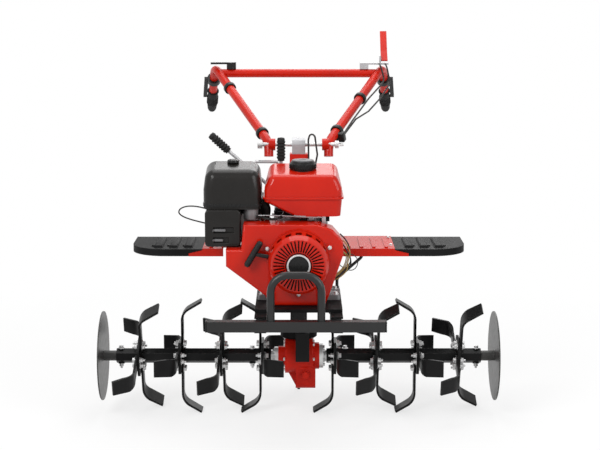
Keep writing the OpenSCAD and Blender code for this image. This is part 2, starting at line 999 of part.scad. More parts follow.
module tine_stars_left() {
    tine_star(-star_x[3], star_turn, 1);
    tine_star(-star_x[2], 0, 1);
    tine_star(-star_x[1], star_turn, 1);
    tine_star(-star_x[0], 0, -1);
}

module tine_stars_right() {
    tine_star(star_x[0], 0, -1);
    tine_star(star_x[1], star_turn, 1);
    tine_star(star_x[2], 0, -1);
    tine_star(star_x[3], star_turn, 1);
}

// Plain discs on stub axles that keep the row straight.
module guard_discs() {
    color("dimgray")
        translate([0, 0, axle_z])
            for (s = [-1, 1])
                mirror([s < 0 ? 1 : 0, 0, 0]) {
                    bar_x(disc_x - disc_t/2, disc_x + disc_t/2, disc_d);
                    bar_x(tube_out, disc_x, stub_d);
                }
}

// Handlebar

// Swivelling turret on top of the gearbox.
module swivel_base() {
    color("firebrick") {
        translate([0, swivel_y, boss_z])
            cylinder(d = 110, h = 14);
        translate([0, swivel_y, boss_z - boss_h - 24])
            cylinder(d = 30, h = boss_h + 25);
        translate([-base_half, swivel_y - 10, boss_z + 10])
            cube([2*base_half, 60, 70]);
        along_x(-neck_half - 8, neck_half + 8)
            polygon([[swivel_y - 10, boss_z + 60], [swivel_y + 50, boss_z + 60],
                     [tilt_y + block_r, tilt_z - 30], [tilt_y - block_r, tilt_z - 30]]);
    }
}

// Grey block on the turret that the tilt bolt goes through.
module tilt_block() {
    color("gray")
        along_x(-neck_half, neck_half)
            translate([tilt_y, tilt_z])
                difference() {
                    union() {
                        translate([-block_r, -30])
                            square([2*block_r, 30]);
                        circle(r = block_r);
                    }
                    circle(d = bolt_d + 2*run_gap);
                }
}

// Bolt that the handlebar tilts on, bare between the block and the tubes.
module tilt_bolt() {
    reach = foot_x + tube_d/2 + 6;
    color("silver")
        translate([0, tilt_y, tilt_z]) {
            bar_x(-reach, reach, bolt_d);
            bar_x(-reach - 16, -reach, 28);
            bar_x(reach, reach + 12, 26);
        }
}

// Path of the left or right tube, from its foot to the end inside the grip.
function tube_path(s) = [
    [s*foot_x, tilt_y - 4, tilt_z - 40],
    [s*foot_x, tilt_y + 6, tilt_z + 6],
    [s*bar_half, bar_y, bar_z],
    [s*bar_half, bar_y, bar_z] + grip_lead*[s*grip_way.x, grip_way.y, grip_way.z]];

module handle_tube(s) {
    difference() {
        union() {
            bent_bar(tube_path(s), tube_d, 60);
            translate([0, tilt_y, tilt_z])
                bar_x(s > 0 ? sleeve_in : -foot_x, s > 0 ? foot_x : -sleeve_in, 40);
        }
        translate([0, tilt_y, tilt_z])
            bar_x(-foot_x - tube_d, foot_x + tube_d, bolt_d + 2*run_gap);
    }
}

// Tube across the top, cut to the curve of the two side tubes.
cross_at = tube_path(1)[2] - cross_back*unit(tube_path(1)[2] - tube_path(1)[1]);

module cross_tube() {
    difference() {
        translate([0, cross_at.y, cross_at.z])
            bar_x(-cross_at.x, cross_at.x, tube_d - 1);
        for (s = [-1, 1])
            aim(tube_path(s)[1], tube_path(s)[2] - tube_path(s)[1])
                cylinder(d = tube_d + 0.6, h = 700);
    }
}

module handle_tubes() {
    color("red") {
        handle_tube(-1);
        handle_tube(1);
        cross_tube();
    }
}

// Grips on the ends of the tubes.
module grips() {
    color("black")
        for (s = [-1, 1]) {
            p = tube_path(s);
            aim(p[3], p[3] - p[2])
                rotate_extrude()
                    polygon([[0, 0], [tube_d/2 + 2, 0], [tube_d/2 + 2, 10], [grip_d/2, 40], [grip_d/2, 80],
                             [grip_d/2 - 3, grip_len - 10], [grip_tip, grip_len], [0, grip_len]]);
        }
}

// Hand levers under the grips, and the throttle's thumb lever at the left end of the cross tube.
module hand_lever(s) {
    p = tube_path(s);
    u = unit(p[3] - p[2]);
    a = p[2] + u*70;
    translate([s*28, 0, 0])
        aim(a, u)
            translate([-5, -7, 0])
                cube([10, 14, 120]);
    aim(a, u)
        difference() {
            cylinder(d = tube_d + 18, h = 20);
            translate([0, 0, -1])
                cylinder(d = tube_d + 0.4, h = 24);
        }
}

module throttle_lever() {
    translate([-cross_at.x + 44, cross_at.y, cross_at.z + tube_d/2]) {
        cylinder(d = 34, h = 24);
        translate([-74, -7, 17])
            cube([76, 14, 7]);
        translate([-74, -12, 17])
            cube([22, 24, 7]);
    }
}

module hand_controls() {
    color("black") {
        hand_lever(-1);
        hand_lever(1);
        throttle_lever();
    }
}

// Grey bracket on the right end of the cross tube.
module clutch_bracket() {
    color("gray")
        translate([cross_at.x, cross_at.y, cross_at.z + tube_d/2]) {
            translate([-66, -12, 0])
                cube([30, 24, 22]);
            translate([-66, -12, 16])
                cube([102, 24, 6]);
            translate([4, -12, 21])
                cube([5, 24, 26]);
        }
}

// Red clutch lever that stands up from its bracket.
module clutch_lever() {
    color("firebrick")
        translate([cross_at.x, cross_at.y, cross_at.z + tube_d/2])
            along_x(9.3, 33)
                sheet([[-10, 32], [30, 64], [84, 132]], 5);
}

// Cables from the bracket down the right tube

// Line moved square to the right-hand side tube.
function beside(t, x, y, z) = tube_path(1)[1] + (tube_path(1)[2] - tube_path(1)[1])*t + [x, y, z];
clutch_line = [[cross_at.x + 2, cross_at.y - 12.3, cross_at.z + tube_d/2 + 19],
               [cross_at.x + 6, cross_at.y - 40, cross_at.z + 30],
               [cross_at.x + 20, cross_at.y - 36, cross_at.z - 20],
               beside(0.8, 28, -18, -14), beside(0.6, 24, -20, -6), beside(0.3, 22, -16, -6),
               beside(0.1, 24, -10, -8)];
reverse_line = [[cross_at.x + 24, cross_at.y - 12.3, cross_at.z + tube_d/2 + 19],
                [cross_at.x + 28, cross_at.y - 40, cross_at.z + 28],
                [cross_at.x + 42, cross_at.y - 30, cross_at.z - 34],
                beside(0.7, 46, 6, -36), beside(0.5, 42, 4, -28), beside(0.34, 27, -8, -12),
                beside(0.12, 24, 6, -14)];

module cables_upper() {
    color("gray") {
        swept(bent_line(clutch_line, 16, 4), 6, 8);
        swept(bent_line(reverse_line, 16, 4), 6, 8);
    }
}

// Loop of cable beside the tilt block, with both its ends on the turret.
cable_loop = [[47, swivel_y + 18, boss_z + 14.4], [49, tilt_y - 36, boss_z + 90],
              [62, tilt_y - 38, tilt_z - 30], [54, tilt_y - 38, tilt_z + 30],
              [40, tilt_y - 38, tilt_z + 50], [32, tilt_y - 38, tilt_z + 20],
              [34, swivel_y + 34, boss_z + 80.4]];

module cables_lower() {
    color("black")
        swept(bent_line(cable_loop, 9, 4), 6, 8);
}

place() gear_case();
place() bearing_caps();
place() case_guard();
place() gearbox();
place() clutch_housing();
place() engine_block();
place() engine_cylinder();  // cylinder
place() valve_cover();
place() fan_shroud();
place() recoil_starter();
place() starter_cap();
place() pull_handle();
place() fuel_tank();
place() fuel_cap();
place() tank_mounts();
place() air_cleaner();
place() control_box();
place() carburettor();
place() muffler();
place() rails();
place() engine_bed();
place() bumper();
place() fenders_inner();
place() fenders_outer();
place() fender_stays();
place() shift_levers();
place() shift_grips();
place() shift_gate();
place() hitch();
place() drag_stake();
place() tine_shaft();
place() tine_tubes();
place() tine_stars_left();
place() tine_stars_right();
place() guard_discs();
place() swivel_base();
place() tilt_block();
place() tilt_bolt();
place() cables_lower();
place() handle_tubes();
place() grips();
place() hand_controls();
place() clutch_bracket();
place() clutch_lever();
place() cables_upper();
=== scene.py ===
# %% [markdown]
# # Dressing a power tiller
# A power tiller is an engine on a gearbox that turns a row of bent tines. Its solids come from a packed
# drawing, in metres, with the floor at z = 0 and the front towards -Y. We could draw them again here,
# but then the drawing and the picture would soon differ. So the solids stay as they are, each one gets
# a finish, and we model what a drawing leaves out: bolts, clips, boots, hoses and knobs.

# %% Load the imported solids
import json
import math

import bmesh
import bpy
from mathutils import Matrix, Vector


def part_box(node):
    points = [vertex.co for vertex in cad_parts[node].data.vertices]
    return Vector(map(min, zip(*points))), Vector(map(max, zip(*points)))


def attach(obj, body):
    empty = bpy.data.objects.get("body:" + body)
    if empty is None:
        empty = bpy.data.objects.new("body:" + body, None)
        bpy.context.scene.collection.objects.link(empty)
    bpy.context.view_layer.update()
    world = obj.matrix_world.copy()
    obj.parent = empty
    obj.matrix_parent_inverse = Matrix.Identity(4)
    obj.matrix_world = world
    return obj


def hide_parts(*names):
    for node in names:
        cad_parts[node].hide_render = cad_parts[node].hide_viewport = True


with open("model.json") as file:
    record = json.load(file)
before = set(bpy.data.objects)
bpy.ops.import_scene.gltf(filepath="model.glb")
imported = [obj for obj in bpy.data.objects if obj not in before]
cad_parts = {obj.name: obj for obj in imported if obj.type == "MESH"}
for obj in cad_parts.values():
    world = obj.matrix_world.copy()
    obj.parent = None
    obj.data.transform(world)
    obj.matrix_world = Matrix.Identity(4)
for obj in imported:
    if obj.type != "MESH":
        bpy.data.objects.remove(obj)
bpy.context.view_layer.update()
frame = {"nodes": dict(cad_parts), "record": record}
scene = bpy.context.scene
nodes = frame["nodes"]
record = frame["record"]
slot_of = {part["node"]: part["material_slot"] for part in record["subparts"]}
body_of = {node: body for body, members in record["behaviour"]["bodies"].items() for node in members}

# %% [markdown]
# ## Where things are
# Two shafts carry the machine: the axle of the tines and the crankshaft of the engine. Their places
# could be typed in, but a change of the drawing would leave typed numbers behind. So we ask the boxes
# of the solids: the guard discs stand round the axle, and the starter stands round the crankshaft.

# %% Measure the two shafts


def middle(box):
    """The middle of a box that is given by two corners."""
    return (box[0] + box[1]) / 2


axle = middle(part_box("guard_discs"))
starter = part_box("recoil_starter")
crank = middle(starter)
print("axle", [round(v, 4) for v in axle], "crankshaft height", round(crank.z, 4))

# %% [markdown]
# ## The camera
# The photograph was taken from straight ahead, from about chest height and some way off. A camera close
# by with a wide lens would fill the picture as well, but it would spread the tines and shrink the
# handlebar. So a long lens is used, which keeps the sides of the machine nearly parallel. The shift is
# the few pixels by which the machine stands left of the middle of the picture.

# %% Camera
picture_width_px = 600
focal_length_px = 1490
shift_px = 1.3
sensor_width = 36.0
camera_distance = 4.7
camera_height = 1.4
camera_dip = 9.49
camera_data = bpy.data.cameras.new("camera")
camera_data.sensor_width = sensor_width
camera_data.lens = focal_length_px / picture_width_px * sensor_width
camera_data.shift_x = shift_px / picture_width_px
camera = bpy.data.objects.new("camera", camera_data)
scene.collection.objects.link(camera)
camera.location = (0, axle.y - camera_distance, camera_height)
camera.rotation_euler = (math.radians(90 - camera_dip), 0, 0)
bpy.context.scene.camera = camera
print("lens", round(camera_data.lens, 1), "mm")

# %% [markdown]
# ## The floor
# A catalogue picture is taken on white paper that runs on far behind the machine. A curved sheet could
# be modelled, but one large plane, a hair below the tines, has no bend that could ever show.

# %% Floor
paper_size = 120
paper_back = 20
paper_drop = 0.0003
scene.view_settings.view_transform = "Standard"
bpy.ops.object.select_all(action="DESELECT")
bpy.ops.mesh.primitive_plane_add(size=paper_size, location=(0, paper_back, -paper_drop))
floor = bpy.context.object
floor.name = "floor"
print("floor", paper_size, "m wide")

# %% [markdown]
# ## The light
# Soft boxes light the machine from both sides of the camera, from above and, weakly, from behind. Small
# lamps could do it, but they throw hard shadows, and a row of tines has too many of those. The light
# stays at a plain level, so that a colour looks about as it is written.

# %% Soft boxes
lamp_aim = Vector((0, 0, 0.5))


def soft_box(name, place, size, watts):
    """A square lamp that looks at the middle of the machine."""
    data = bpy.data.lights.new(name, "AREA")
    data.size = size
    data.energy = watts
    lamp = bpy.data.objects.new(name, data)
    scene.collection.objects.link(lamp)
    lamp.location = place
    lamp.rotation_euler = (lamp_aim - Vector(place)).to_track_quat("-Z", "Y").to_euler()


soft_box("key_box", (-2.6, -3.6, 3.2), 2.2, 140)
soft_box("fill_box", (3.2, -2.8, 2.4), 2.4, 80)
soft_box("top_box", (0.0, 0.6, 3.6), 2.6, 60)
soft_box("back_box", (0.5, 3.6, 2.6), 2.4, 40)

# %% [markdown]
# ## Node maths as Python
# A shader is a graph, and graphs are hard to read in code. One small class wraps a node's output so
# that sums and products of such outputs read as plain expressions, and `make` adds any other node.

# %% A class for wires between nodes


class Wire:
    """An output of a shader node, usable in Python expressions."""

    def __init__(self, tree, socket=None):
        self.tree = tree
        self.socket = socket

    def make(self, kind, settings=None, inputs=None, output=0):
        """Adds a node, sets it up, joins its inputs and gives back one of its outputs."""
        node = self.tree.nodes.new(kind)
        for name, value in (settings or {}).items():
            setattr(node, name, value)
        for key, value in (inputs or {}).items():
            if isinstance(value, Wire):
                self.tree.links.new(value.socket, node.inputs[key])
            else:
                node.inputs[key].default_value = value
        return Wire(self.tree, node.outputs[output])

    def math(self, operation, first, second):
        return self.make("ShaderNodeMath", {"operation": operation}, {0: first, 1: second})

    def __add__(self, other):
        return self.math("ADD", self, other)

    def __radd__(self, other):
        return self.math("ADD", other, self)

    def __sub__(self, other):
        return self.math("SUBTRACT", self, other)

    def __rsub__(self, other):
        return self.math("SUBTRACT", other, self)

    def __mul__(self, other):
        return self.math("MULTIPLY", self, other)

    def __rmul__(self, other):
        return self.math("MULTIPLY", other, self)

    def clamp(self, low, high):
        """Stretches low..high to 0..1 and cuts what lies outside."""
        return self.make("ShaderNodeMapRange", {"clamp": True}, {0: self, 1: low, 2: high})

    def between(self, first, second):
        """Mixes two colours by this value."""
        return self.make("ShaderNodeMix", {"data_type": "RGBA"}, {0: self, 6: first, 7: second}, 2)


def feed(node, socket, wire):
    """Joins a wire to one of a node's sockets."""
    wire.tree.links.new(wire.socket, node.inputs[socket])


print("wires can be added, subtracted, multiplied, clamped and mixed")

# %% [markdown]
# ## The white of the paper
# Paper looks white in a catalogue because it is lit far more than the goods on it. More lamps would do
# that here too, but they would bleach the paint. So the paper is a matt sheet, and where the camera
# looks at it, straight, in a mirror or through glass, most of it glows with exactly white. What is left
# of the matt sheet shows the shadow under the machine. Further out the glow takes over, so the paper
# has no visible end.

# %% Paper
near_glow = 0.72
shadow_ends = (0.7, 1.9)


def grey(level):
    """A colour without a tint."""
    return (level, level, level, 1)


def direct_look(builder):
    """1 for rays that come from the camera, straight, from a mirror or through glass."""
    kinds = ("Is Camera Ray", "Is Glossy Ray", "Is Transmission Ray")
    straight, mirrored, through = (builder.make("ShaderNodeLightPath", output=kind) for kind in kinds)
    return (straight + mirrored + through).clamp(0.0, 1.0)


paper = bpy.data.materials.new("paper")
paper.use_nodes = True
floor.data.materials.append(paper)
sheet = Wire(paper.node_tree)
matt = sheet.make("ShaderNodeBsdfDiffuse", None, {"Color": grey(0.86)})
glow = sheet.make("ShaderNodeEmission", None, {"Color": grey(1.0), "Strength": 1.0})
where = sheet.make("ShaderNodeTexCoord", None, None, "Object")
away = sheet.make("ShaderNodeVectorMath", {"operation": "DISTANCE"},
                  {0: where, 1: (0, -paper_back, 0)}, "Value")
share = away.clamp(*shadow_ends) * (1 - near_glow) + near_glow
mixed = sheet.make("ShaderNodeMixShader", None, {0: direct_look(sheet) * share, 1: matt, 2: glow})
feed(paper.node_tree.nodes["Material Output"], "Surface", mixed)
print("paper glows with", near_glow, "of white beside the machine")

# %% [markdown]
# ## The room
# Paint and bright steel mirror what stands round them, and in a studio that is white walls. A room that
# is white and also shines as such would leave the machine without a shaded side. So it is white for
# rays that look at it, and lights the machine with a third of that.

# %% Room
room_light = 0.34
world = bpy.data.worlds.new("studio")
world.use_nodes = True
scene.world = world
room = Wire(world.node_tree)
soft_light = room.make("ShaderNodeBackground", None, {"Color": grey(1.0), "Strength": room_light})
white_wall = room.make("ShaderNodeBackground", None, {"Color": grey(1.0), "Strength": 1.0})
sky = room.make("ShaderNodeMixShader", None, {0: direct_look(room), 1: soft_light, 2: white_wall})
feed(world.node_tree.nodes["World Output"], "Surface", sky)
print("room looks white and lights with", room_light)

# %% [markdown]
# ## Building a finish
# Every finish starts from a Principled shader. What is the same all over is set on its own sockets. What
# varies, such as the skin of sprayed paint, the grain of a casting or a scuffed edge, could come from
# pictures, but those need seams and a fixed size. Noise on Object coordinates needs neither: its scale
# is in lumps per metre, and it stays on the piece when the piece moves.

# %% Helpers for finishes


def begin_finish(name, constants):
    """A new material with its fixed values set; gives back the material, the shader and a builder."""
    finish = bpy.data.materials.new(name)
    finish.use_nodes = True
    shader = finish.node_tree.nodes["Principled BSDF"]
    for socket, value in constants.items():
        shader.inputs[socket].default_value = value
    return finish, shader, Wire(finish.node_tree)


def noise(builder, scale, detail=3.0):
    """Noise that is fixed to the piece; scale is in lumps per metre."""
    place = builder.make("ShaderNodeTexCoord", None, None, "Object")
    return builder.make("ShaderNodeTexNoise", None, {"Vector": place, "Scale": scale, "Detail": detail})


def patches(builder, scale, detail=3.0):
    """Noise with more contrast, to mix two tones of a colour."""
    return noise(builder, scale, detail).clamp(0.3, 0.7)


def rounded(builder, radius):
    """Normals that run smoothly round sharp edges, as a real edge does; radius 0 leaves them alone."""
    if not radius:
        return builder.make("ShaderNodeNewGeometry", None, None, "Normal")
    return builder.make("ShaderNodeBevel", {"samples": 6}, {"Radius": radius})


def edge_mask(builder, soft_normal):
    """1 along sharp edges and 0 on open faces."""
    plain = builder.make("ShaderNodeNewGeometry", None, None, "Normal")
    same = builder.make("ShaderNodeVectorMath", {"operation": "DOT_PRODUCT"},
                        {0: soft_normal, 1: plain}, "Value")
    return (1.0 - same).clamp(0.01, 0.12)


def bump(builder, height, depth, normal):
    """Turns a height in 0..1 into a relief of the given depth in metres."""
    return builder.make("ShaderNodeBump", None, {"Strength": 1.0, "Distance": depth, "Height": height,
                                                 "Normal": normal})


print("finishes vary by noise, rounded edges, scuffed edges and relief")

# %% [markdown]
# ## Sprayed paint
# The pressings and the handlebar are sprayed red, the chassis black. Such paint has a faintly dimpled
# skin, small changes of tone and thin edges. One function makes all of it, because only colour, gloss
# and coat differ. The sharp edges of sheet are rounded in the shader, which is cheaper than bevelling
# every solid. Tubes are round already, so a radius of 0 leaves their normals alone.

# %% Red and black paint


def sprayed(name, tones, rough, coat, radius=0.0018, coat_rough=0.05, sheen=0.05):
    """Paint with a faintly dimpled skin, small changes of tone and slightly thin edges."""
    light, deep, thin = tones
    finish, shader, made = begin_finish(name, {"Coat Weight": coat, "Coat Roughness": coat_rough, "IOR": 1.45,
                                               "Specular IOR Level": sheen})
    soft = rounded(made, radius)
    worn = edge_mask(made, soft) * noise(made, 160.0).clamp(0.45, 0.7) * 0.25
    feed(shader, "Base Color", worn.between(patches(made, 7.0).between(light, deep), thin))
    feed(shader, "Roughness", noise(made, 45.0) * 0.10 + (rough - 0.05))
    dimples = 300.0 if radius else 90.0
    feed(shader, "Normal", bump(made, noise(made, dimples, 1.0), 0.00002, soft))
    return finish


reds = ((0.54, 0.012, 0.002, 1), (0.45, 0.008, 0.001, 1), (0.28, 0.008, 0.004, 1))
blacks = ((0.011, 0.011, 0.0112, 1), (0.006, 0.006, 0.0062, 1), grey(0.07))
red_paint = sprayed("red_paint", reds, rough=0.40, coat=0.25)
red_pressing = sprayed("red_pressing", reds, rough=0.35, coat=0.4, radius=0.006)
red_tube = sprayed("red_tube", reds, rough=0.35, coat=0.4, radius=0, coat_rough=0.10)
red_bar = sprayed("red_bar", reds, rough=0.38, coat=0.4, radius=0, coat_rough=0.28)
black_paint = sprayed("black_paint", blacks, rough=0.55, coat=0.04, coat_rough=0.2)
black_tube = sprayed("black_tube", blacks, rough=0.40, coat=0.5, radius=0, coat_rough=0.28, sheen=0.2)
print("paints:", [m.name for m in bpy.data.materials if m.name.startswith(("red_", "black_"))])

# %% [markdown]
# ## Cast metal
# The gear case and the gearbox are cast in sand and painted, and the engine is bare alloy. A casting is
# pitted and uneven in tone, and its edges are round. Modelled pits would cost many faces, so a bump of
# a fifth of a millimetre gives the grain.

# %% Red, black and bare castings


def cast(name, light, deep, rough, metal, grain, sheen=0.5):
    """Sand-cast metal: pitted, uneven in tone, with rounded edges."""
    finish, shader, made = begin_finish(name, {"Metallic": metal, "IOR": 1.5, "Specular IOR Level": sheen})
    soft = rounded(made, 0.003)
    feed(shader, "Base Color", patches(made, 22.0, 5.0).between(light, deep))
    feed(shader, "Roughness", noise(made, 90.0) * 0.2 + (rough - 0.1))
    feed(shader, "Normal", bump(made, noise(made, grain, 3.0), 0.0002, soft))
    return finish


red_cast = cast("red_cast", (0.56, 0.014, 0.004, 1), (0.43, 0.009, 0.003, 1),
                rough=0.42, metal=0.0, grain=320.0, sheen=0.15)
black_cast = cast("black_cast", (0.022, 0.022, 0.023, 1), (0.012, 0.012, 0.013, 1),
                  rough=0.5, metal=0.0, grain=300.0, sheen=0.2)
engine_alloy = cast("engine_alloy", grey(0.56), grey(0.42), rough=0.45, metal=0.5, grain=380.0)
dull_alloy = cast("dull_alloy", (0.26, 0.26, 0.265, 1), (0.15, 0.15, 0.155, 1),
                  rough=0.5, metal=0.6, grain=380.0)
print("castings:", red_cast.name, black_cast.name, engine_alloy.name, dull_alloy.name)

# %% [markdown]
# ## Steel
# Tines, discs, bolts and rods are rolled steel, painted or bare. Work rubs the edges bright first. Such
# wear could be painted on by hand, but it would then fit one mesh only. So the shader finds the edges,
# where the rounded normal leaves the plain one, and noise breaks the wear up.

# %% Painted, rolled, plated and scorched steel


def steel(name, light, deep, bare, rough, metal, wear, radius=0.0012, sheen=0.5):
    """Rolled steel, painted or bare, that shows brighter metal on scuffed edges."""
    finish, shader, made = begin_finish(name, {"IOR": 1.5, "Specular IOR Level": sheen})
    soft = rounded(made, radius)
    worn = edge_mask(made, soft) * noise(made, 55.0, 4.0).clamp(0.42, 0.68) * wear
    feed(shader, "Base Color", worn.between(patches(made, 14.0, 4.0).between(light, deep), bare))
    feed(shader, "Metallic", worn * (1.0 - metal) + metal)
    feed(shader, "Roughness", noise(made, 70.0) * 0.16 + (rough - 0.08))
    feed(shader, "Normal", bump(made, noise(made, 260.0, 2.0), 0.00008, soft))
    return finish


dark_steel = steel("dark_steel", (0.010, 0.010, 0.0102, 1), (0.005, 0.005, 0.0052, 1), (0.30, 0.29, 0.28, 1),
                   rough=0.36, metal=0.0, wear=0.35, sheen=0.12)
disc_steel = steel("disc_steel", (0.050, 0.049, 0.047, 1), (0.028, 0.028, 0.027, 1), grey(0.40),
                   rough=0.38, metal=0.3, wear=0.4)
bright_steel = steel("bright_steel", grey(0.70), grey(0.54), grey(0.75), rough=0.36, metal=0.55, wear=0.3)
grey_steel = steel("grey_steel", (0.46, 0.46, 0.47, 1), (0.35, 0.35, 0.36, 1), grey(0.60),
                   rough=0.40, metal=0.45, wear=0.3)
steel_rod = steel("steel_rod", (0.50, 0.50, 0.51, 1), (0.38, 0.38, 0.39, 1), grey(0.60),
                  rough=0.36, metal=0.5, wear=0.3, radius=0)
hot_steel = steel("hot_steel", (0.075, 0.070, 0.066, 1), (0.045, 0.042, 0.040, 1), (0.20, 0.17, 0.14, 1),
                  rough=0.55, metal=0.4, wear=0.4)
print("steels:", [m.name for m in bpy.data.materials if "steel" in m.name])

# %% [markdown]
# ## Plastic and rubber
# Covers, clips and knobs are moulded plastic, and the grips and boots are rubber. The mould leaves a
# fine, even grain. It is far too fine to model, so it is a bump of a few hundredths of a millimetre.

# %% Plastic, rubber and cable jackets


def moulded(name, light, deep, rough, grain, depth, radius=0.0015):
    """Moulded plastic or rubber with a fine, even grain."""
    finish, shader, made = begin_finish(name, {"IOR": 1.46, "Specular IOR Level": 0.25})
    soft = rounded(made, radius)
    feed(shader, "Base Color", patches(made, 10.0).between(light, deep))
    feed(shader, "Roughness", noise(made, 120.0) * 0.12 + (rough - 0.06))
    feed(shader, "Normal", bump(made, noise(made, grain, 1.0), depth, soft))
    return finish


black_plastic = moulded("black_plastic", grey(0.012), grey(0.008), rough=0.27, grain=900.0, depth=0.00002)
grey_plastic = moulded("grey_plastic", (0.17, 0.17, 0.175, 1), (0.12, 0.12, 0.125, 1),
                       rough=0.45, grain=700.0, depth=0.00004)
grip_rubber = moulded("grip_rubber", grey(0.014), grey(0.009), rough=0.62, grain=1100.0, depth=0.00008)
smooth_plastic = moulded("smooth_plastic", (0.014, 0.013, 0.012, 1), (0.010, 0.009, 0.008, 1),
                         rough=0.25, grain=600.0, depth=0.00002, radius=0)
cable_jacket = moulded("cable_jacket", (0.035, 0.033, 0.032, 1), (0.022, 0.021, 0.020, 1),
                       rough=0.35, grain=700.0, depth=0.00003, radius=0)
tan_jacket = moulded("tan_wire", (0.42, 0.33, 0.12, 1), (0.34, 0.26, 0.09, 1),
                     rough=0.4, grain=700.0, depth=0.00003, radius=0)
print("mouldings:", black_plastic.name, grey_plastic.name, grip_rubber.name, cable_jacket.name)

# %% [markdown]
# ## Dressing the solids
# The record names a slot for every solid, and each slot has its finish. On the real machine some solids
# differ from the rest of their slot: the discs are rolled grey, the silencer has been hot, the filler
# cap is black, and tubes take the paint that leaves edges alone. A short table of such exceptions is
# easier to keep than a finish for every solid.

# %% Give each solid its finish
finishes = {"red_paint": red_paint, "black_paint": black_paint, "red_cast": red_cast,
            "black_cast": black_cast, "engine_alloy": engine_alloy, "dark_steel": dark_steel,
            "bright_steel": bright_steel, "grey_steel": grey_steel, "black_plastic": black_plastic,
            "grey_plastic": grey_plastic, "grip_rubber": grip_rubber}
own_finish = {"guard_discs": disc_steel, "carburettor": dull_alloy, "engine_block": dull_alloy,
              "muffler": hot_steel, "fan_shroud": red_tube, "recoil_starter": red_pressing,
              "fuel_tank": red_tube, "fuel_cap": black_plastic, "air_cleaner": smooth_plastic,
              "control_box": smooth_plastic, "handle_tubes": red_bar, "bumper": black_tube,
              "fender_stays": black_tube, "shift_levers": steel_rod, "cables_upper": cable_jacket,
              "cables_lower": cable_jacket}


def finish_of(node):
    """The finish of a solid: its own one, or that of its slot."""
    return own_finish.get(node, finishes[slot_of[node]])


for name, solid in nodes.items():
    solid.data.materials.clear()
    solid.data.materials.append(finish_of(name))
print("dressed", len(nodes), "solids,", len(own_finish), "of them with a finish of their own")

# %% [markdown]
# ## Opening a piece
# The next helpers do what a hand does in the viewport: select nothing, add a shape and open it in edit
# mode. A mesh could also be written as a list of points, but then nobody could read how its shape came
# about. An operator acts on all that is selected, so everything is deselected first.

# %% Select and open


def only(*objects):
    """Leaves just these objects selected, the first one active, in object mode."""
    if bpy.context.mode != "OBJECT":
        bpy.ops.object.mode_set(mode="OBJECT")
    bpy.ops.object.select_all(action="DESELECT")
    for one in objects:
        one.select_set(True)
    if objects:
        bpy.context.view_layer.objects.active = objects[0]


def start(kind, **how):
    """Adds a primitive by itself and opens it in edit mode, selected all over."""
    only()
    getattr(bpy.ops.mesh, f"primitive_{kind}_add")(**how)
    piece = bpy.context.object
    bpy.ops.object.mode_set(mode="EDIT")
    bpy.ops.mesh.select_mode(type="VERT")
    bpy.ops.mesh.select_all(action="SELECT")
    return piece


print("ready to model in", bpy.context.mode.lower(), "mode")

# %% [markdown]
# ## Picking, pushing and closing
# By hand we click on a face or an edge. Code could name it by its number, but numbers change with every
# step. So faces and edges are picked by where they are and which way they point. What is picked can be
# pushed out, and at the end the mesh is closed up, with its faces turned outwards.

# %% Pick, push and close


def pick_faces(test):
    """Selects the faces whose centre and normal pass a test."""
    bpy.ops.mesh.select_mode(type="FACE")
    bpy.ops.mesh.select_all(action="DESELECT")
    mesh = bpy.context.object.data
    shape = bmesh.from_edit_mesh(mesh)
    for face in shape.faces:
        if test(face.calc_center_median(), face.normal):
            face.select_set(True)
    bmesh.update_edit_mesh(mesh)


def pick_edges(test):
    """Selects the edges whose middle and direction pass a test."""
    bpy.ops.mesh.select_mode(type="EDGE")
    bpy.ops.mesh.select_all(action="DESELECT")
    mesh = bpy.context.object.data
    shape = bmesh.from_edit_mesh(mesh)
    for edge in shape.edges:
        first, second = (v.co for v in edge.verts)
        if test((first + second) / 2, (second - first).normalized()):
            edge.select_set(True)
    bmesh.update_edit_mesh(mesh)


def push(x, y, z):
    """Extrudes what is selected and moves it."""
    bpy.ops.mesh.extrude_region_move(TRANSFORM_OT_translate={"value": (x, y, z)})


def close_up():
    """Merges doubles, turns all faces outwards and leaves edit mode."""
    bpy.ops.mesh.select_all(action="SELECT")
    bpy.ops.mesh.remove_doubles(threshold=0.00001)
    bpy.ops.mesh.normals_make_consistent(inside=False)
    bpy.ops.object.mode_set(mode="OBJECT")


print("faces and edges are picked by place and direction")

# %% [markdown]
# ## Two ways to start a piece
# Nearly all small pieces of a machine are turned on a lathe or cut from bar. A turned piece is a circle,
# extruded and scaled from ring to ring. A Screw modifier could turn an outline too, but a list of rings
# reads like the piece itself: a radius and a height. A cut piece is a cube, scaled and bevelled.

# %% Turned pieces and blocks


def turned(rings, sides=32):
    """A turned piece about Z, through rings that are given as (radius, height)."""
    radius, height = rings[0]
    piece = start("circle", vertices=sides, radius=radius, location=(0, 0, 0), fill_type="NOTHING")
    bpy.ops.transform.translate(value=(0, 0, height))
    for next_radius, next_height in rings[1:]:
        push(0, 0, next_height - height)
        size = next_radius / radius
        bpy.ops.transform.resize(value=(size, size, 1), center_override=(0, 0, next_height))
        radius, height = next_radius, next_height
    bpy.ops.mesh.select_all(action="SELECT")
    bpy.ops.mesh.remove_doubles(threshold=0.00001)
    bpy.ops.mesh.fill_holes(sides=0)
    close_up()
    return piece


def block(size, shift=(0, 0, 0), bevel=0.0, segments=2):
    """A cube, scaled to a size, moved and with all its edges bevelled; left in edit mode."""
    piece = start("cube", size=1.0)
    bpy.ops.transform.resize(value=size)
    bpy.ops.transform.translate(value=shift)
    if bevel:
        bpy.ops.mesh.bevel(offset=bevel, segments=segments, affect="EDGES")
    return piece


print("pieces start as a circle or as a cube")

# %% [markdown]
# ## Copies
# What repeats is modelled once and copied. Linked copies would share one mesh, but on this machine every
# place has to be in the mesh itself, so each copy gets its own, and the copies on one body are joined.

# %% Place and join copies


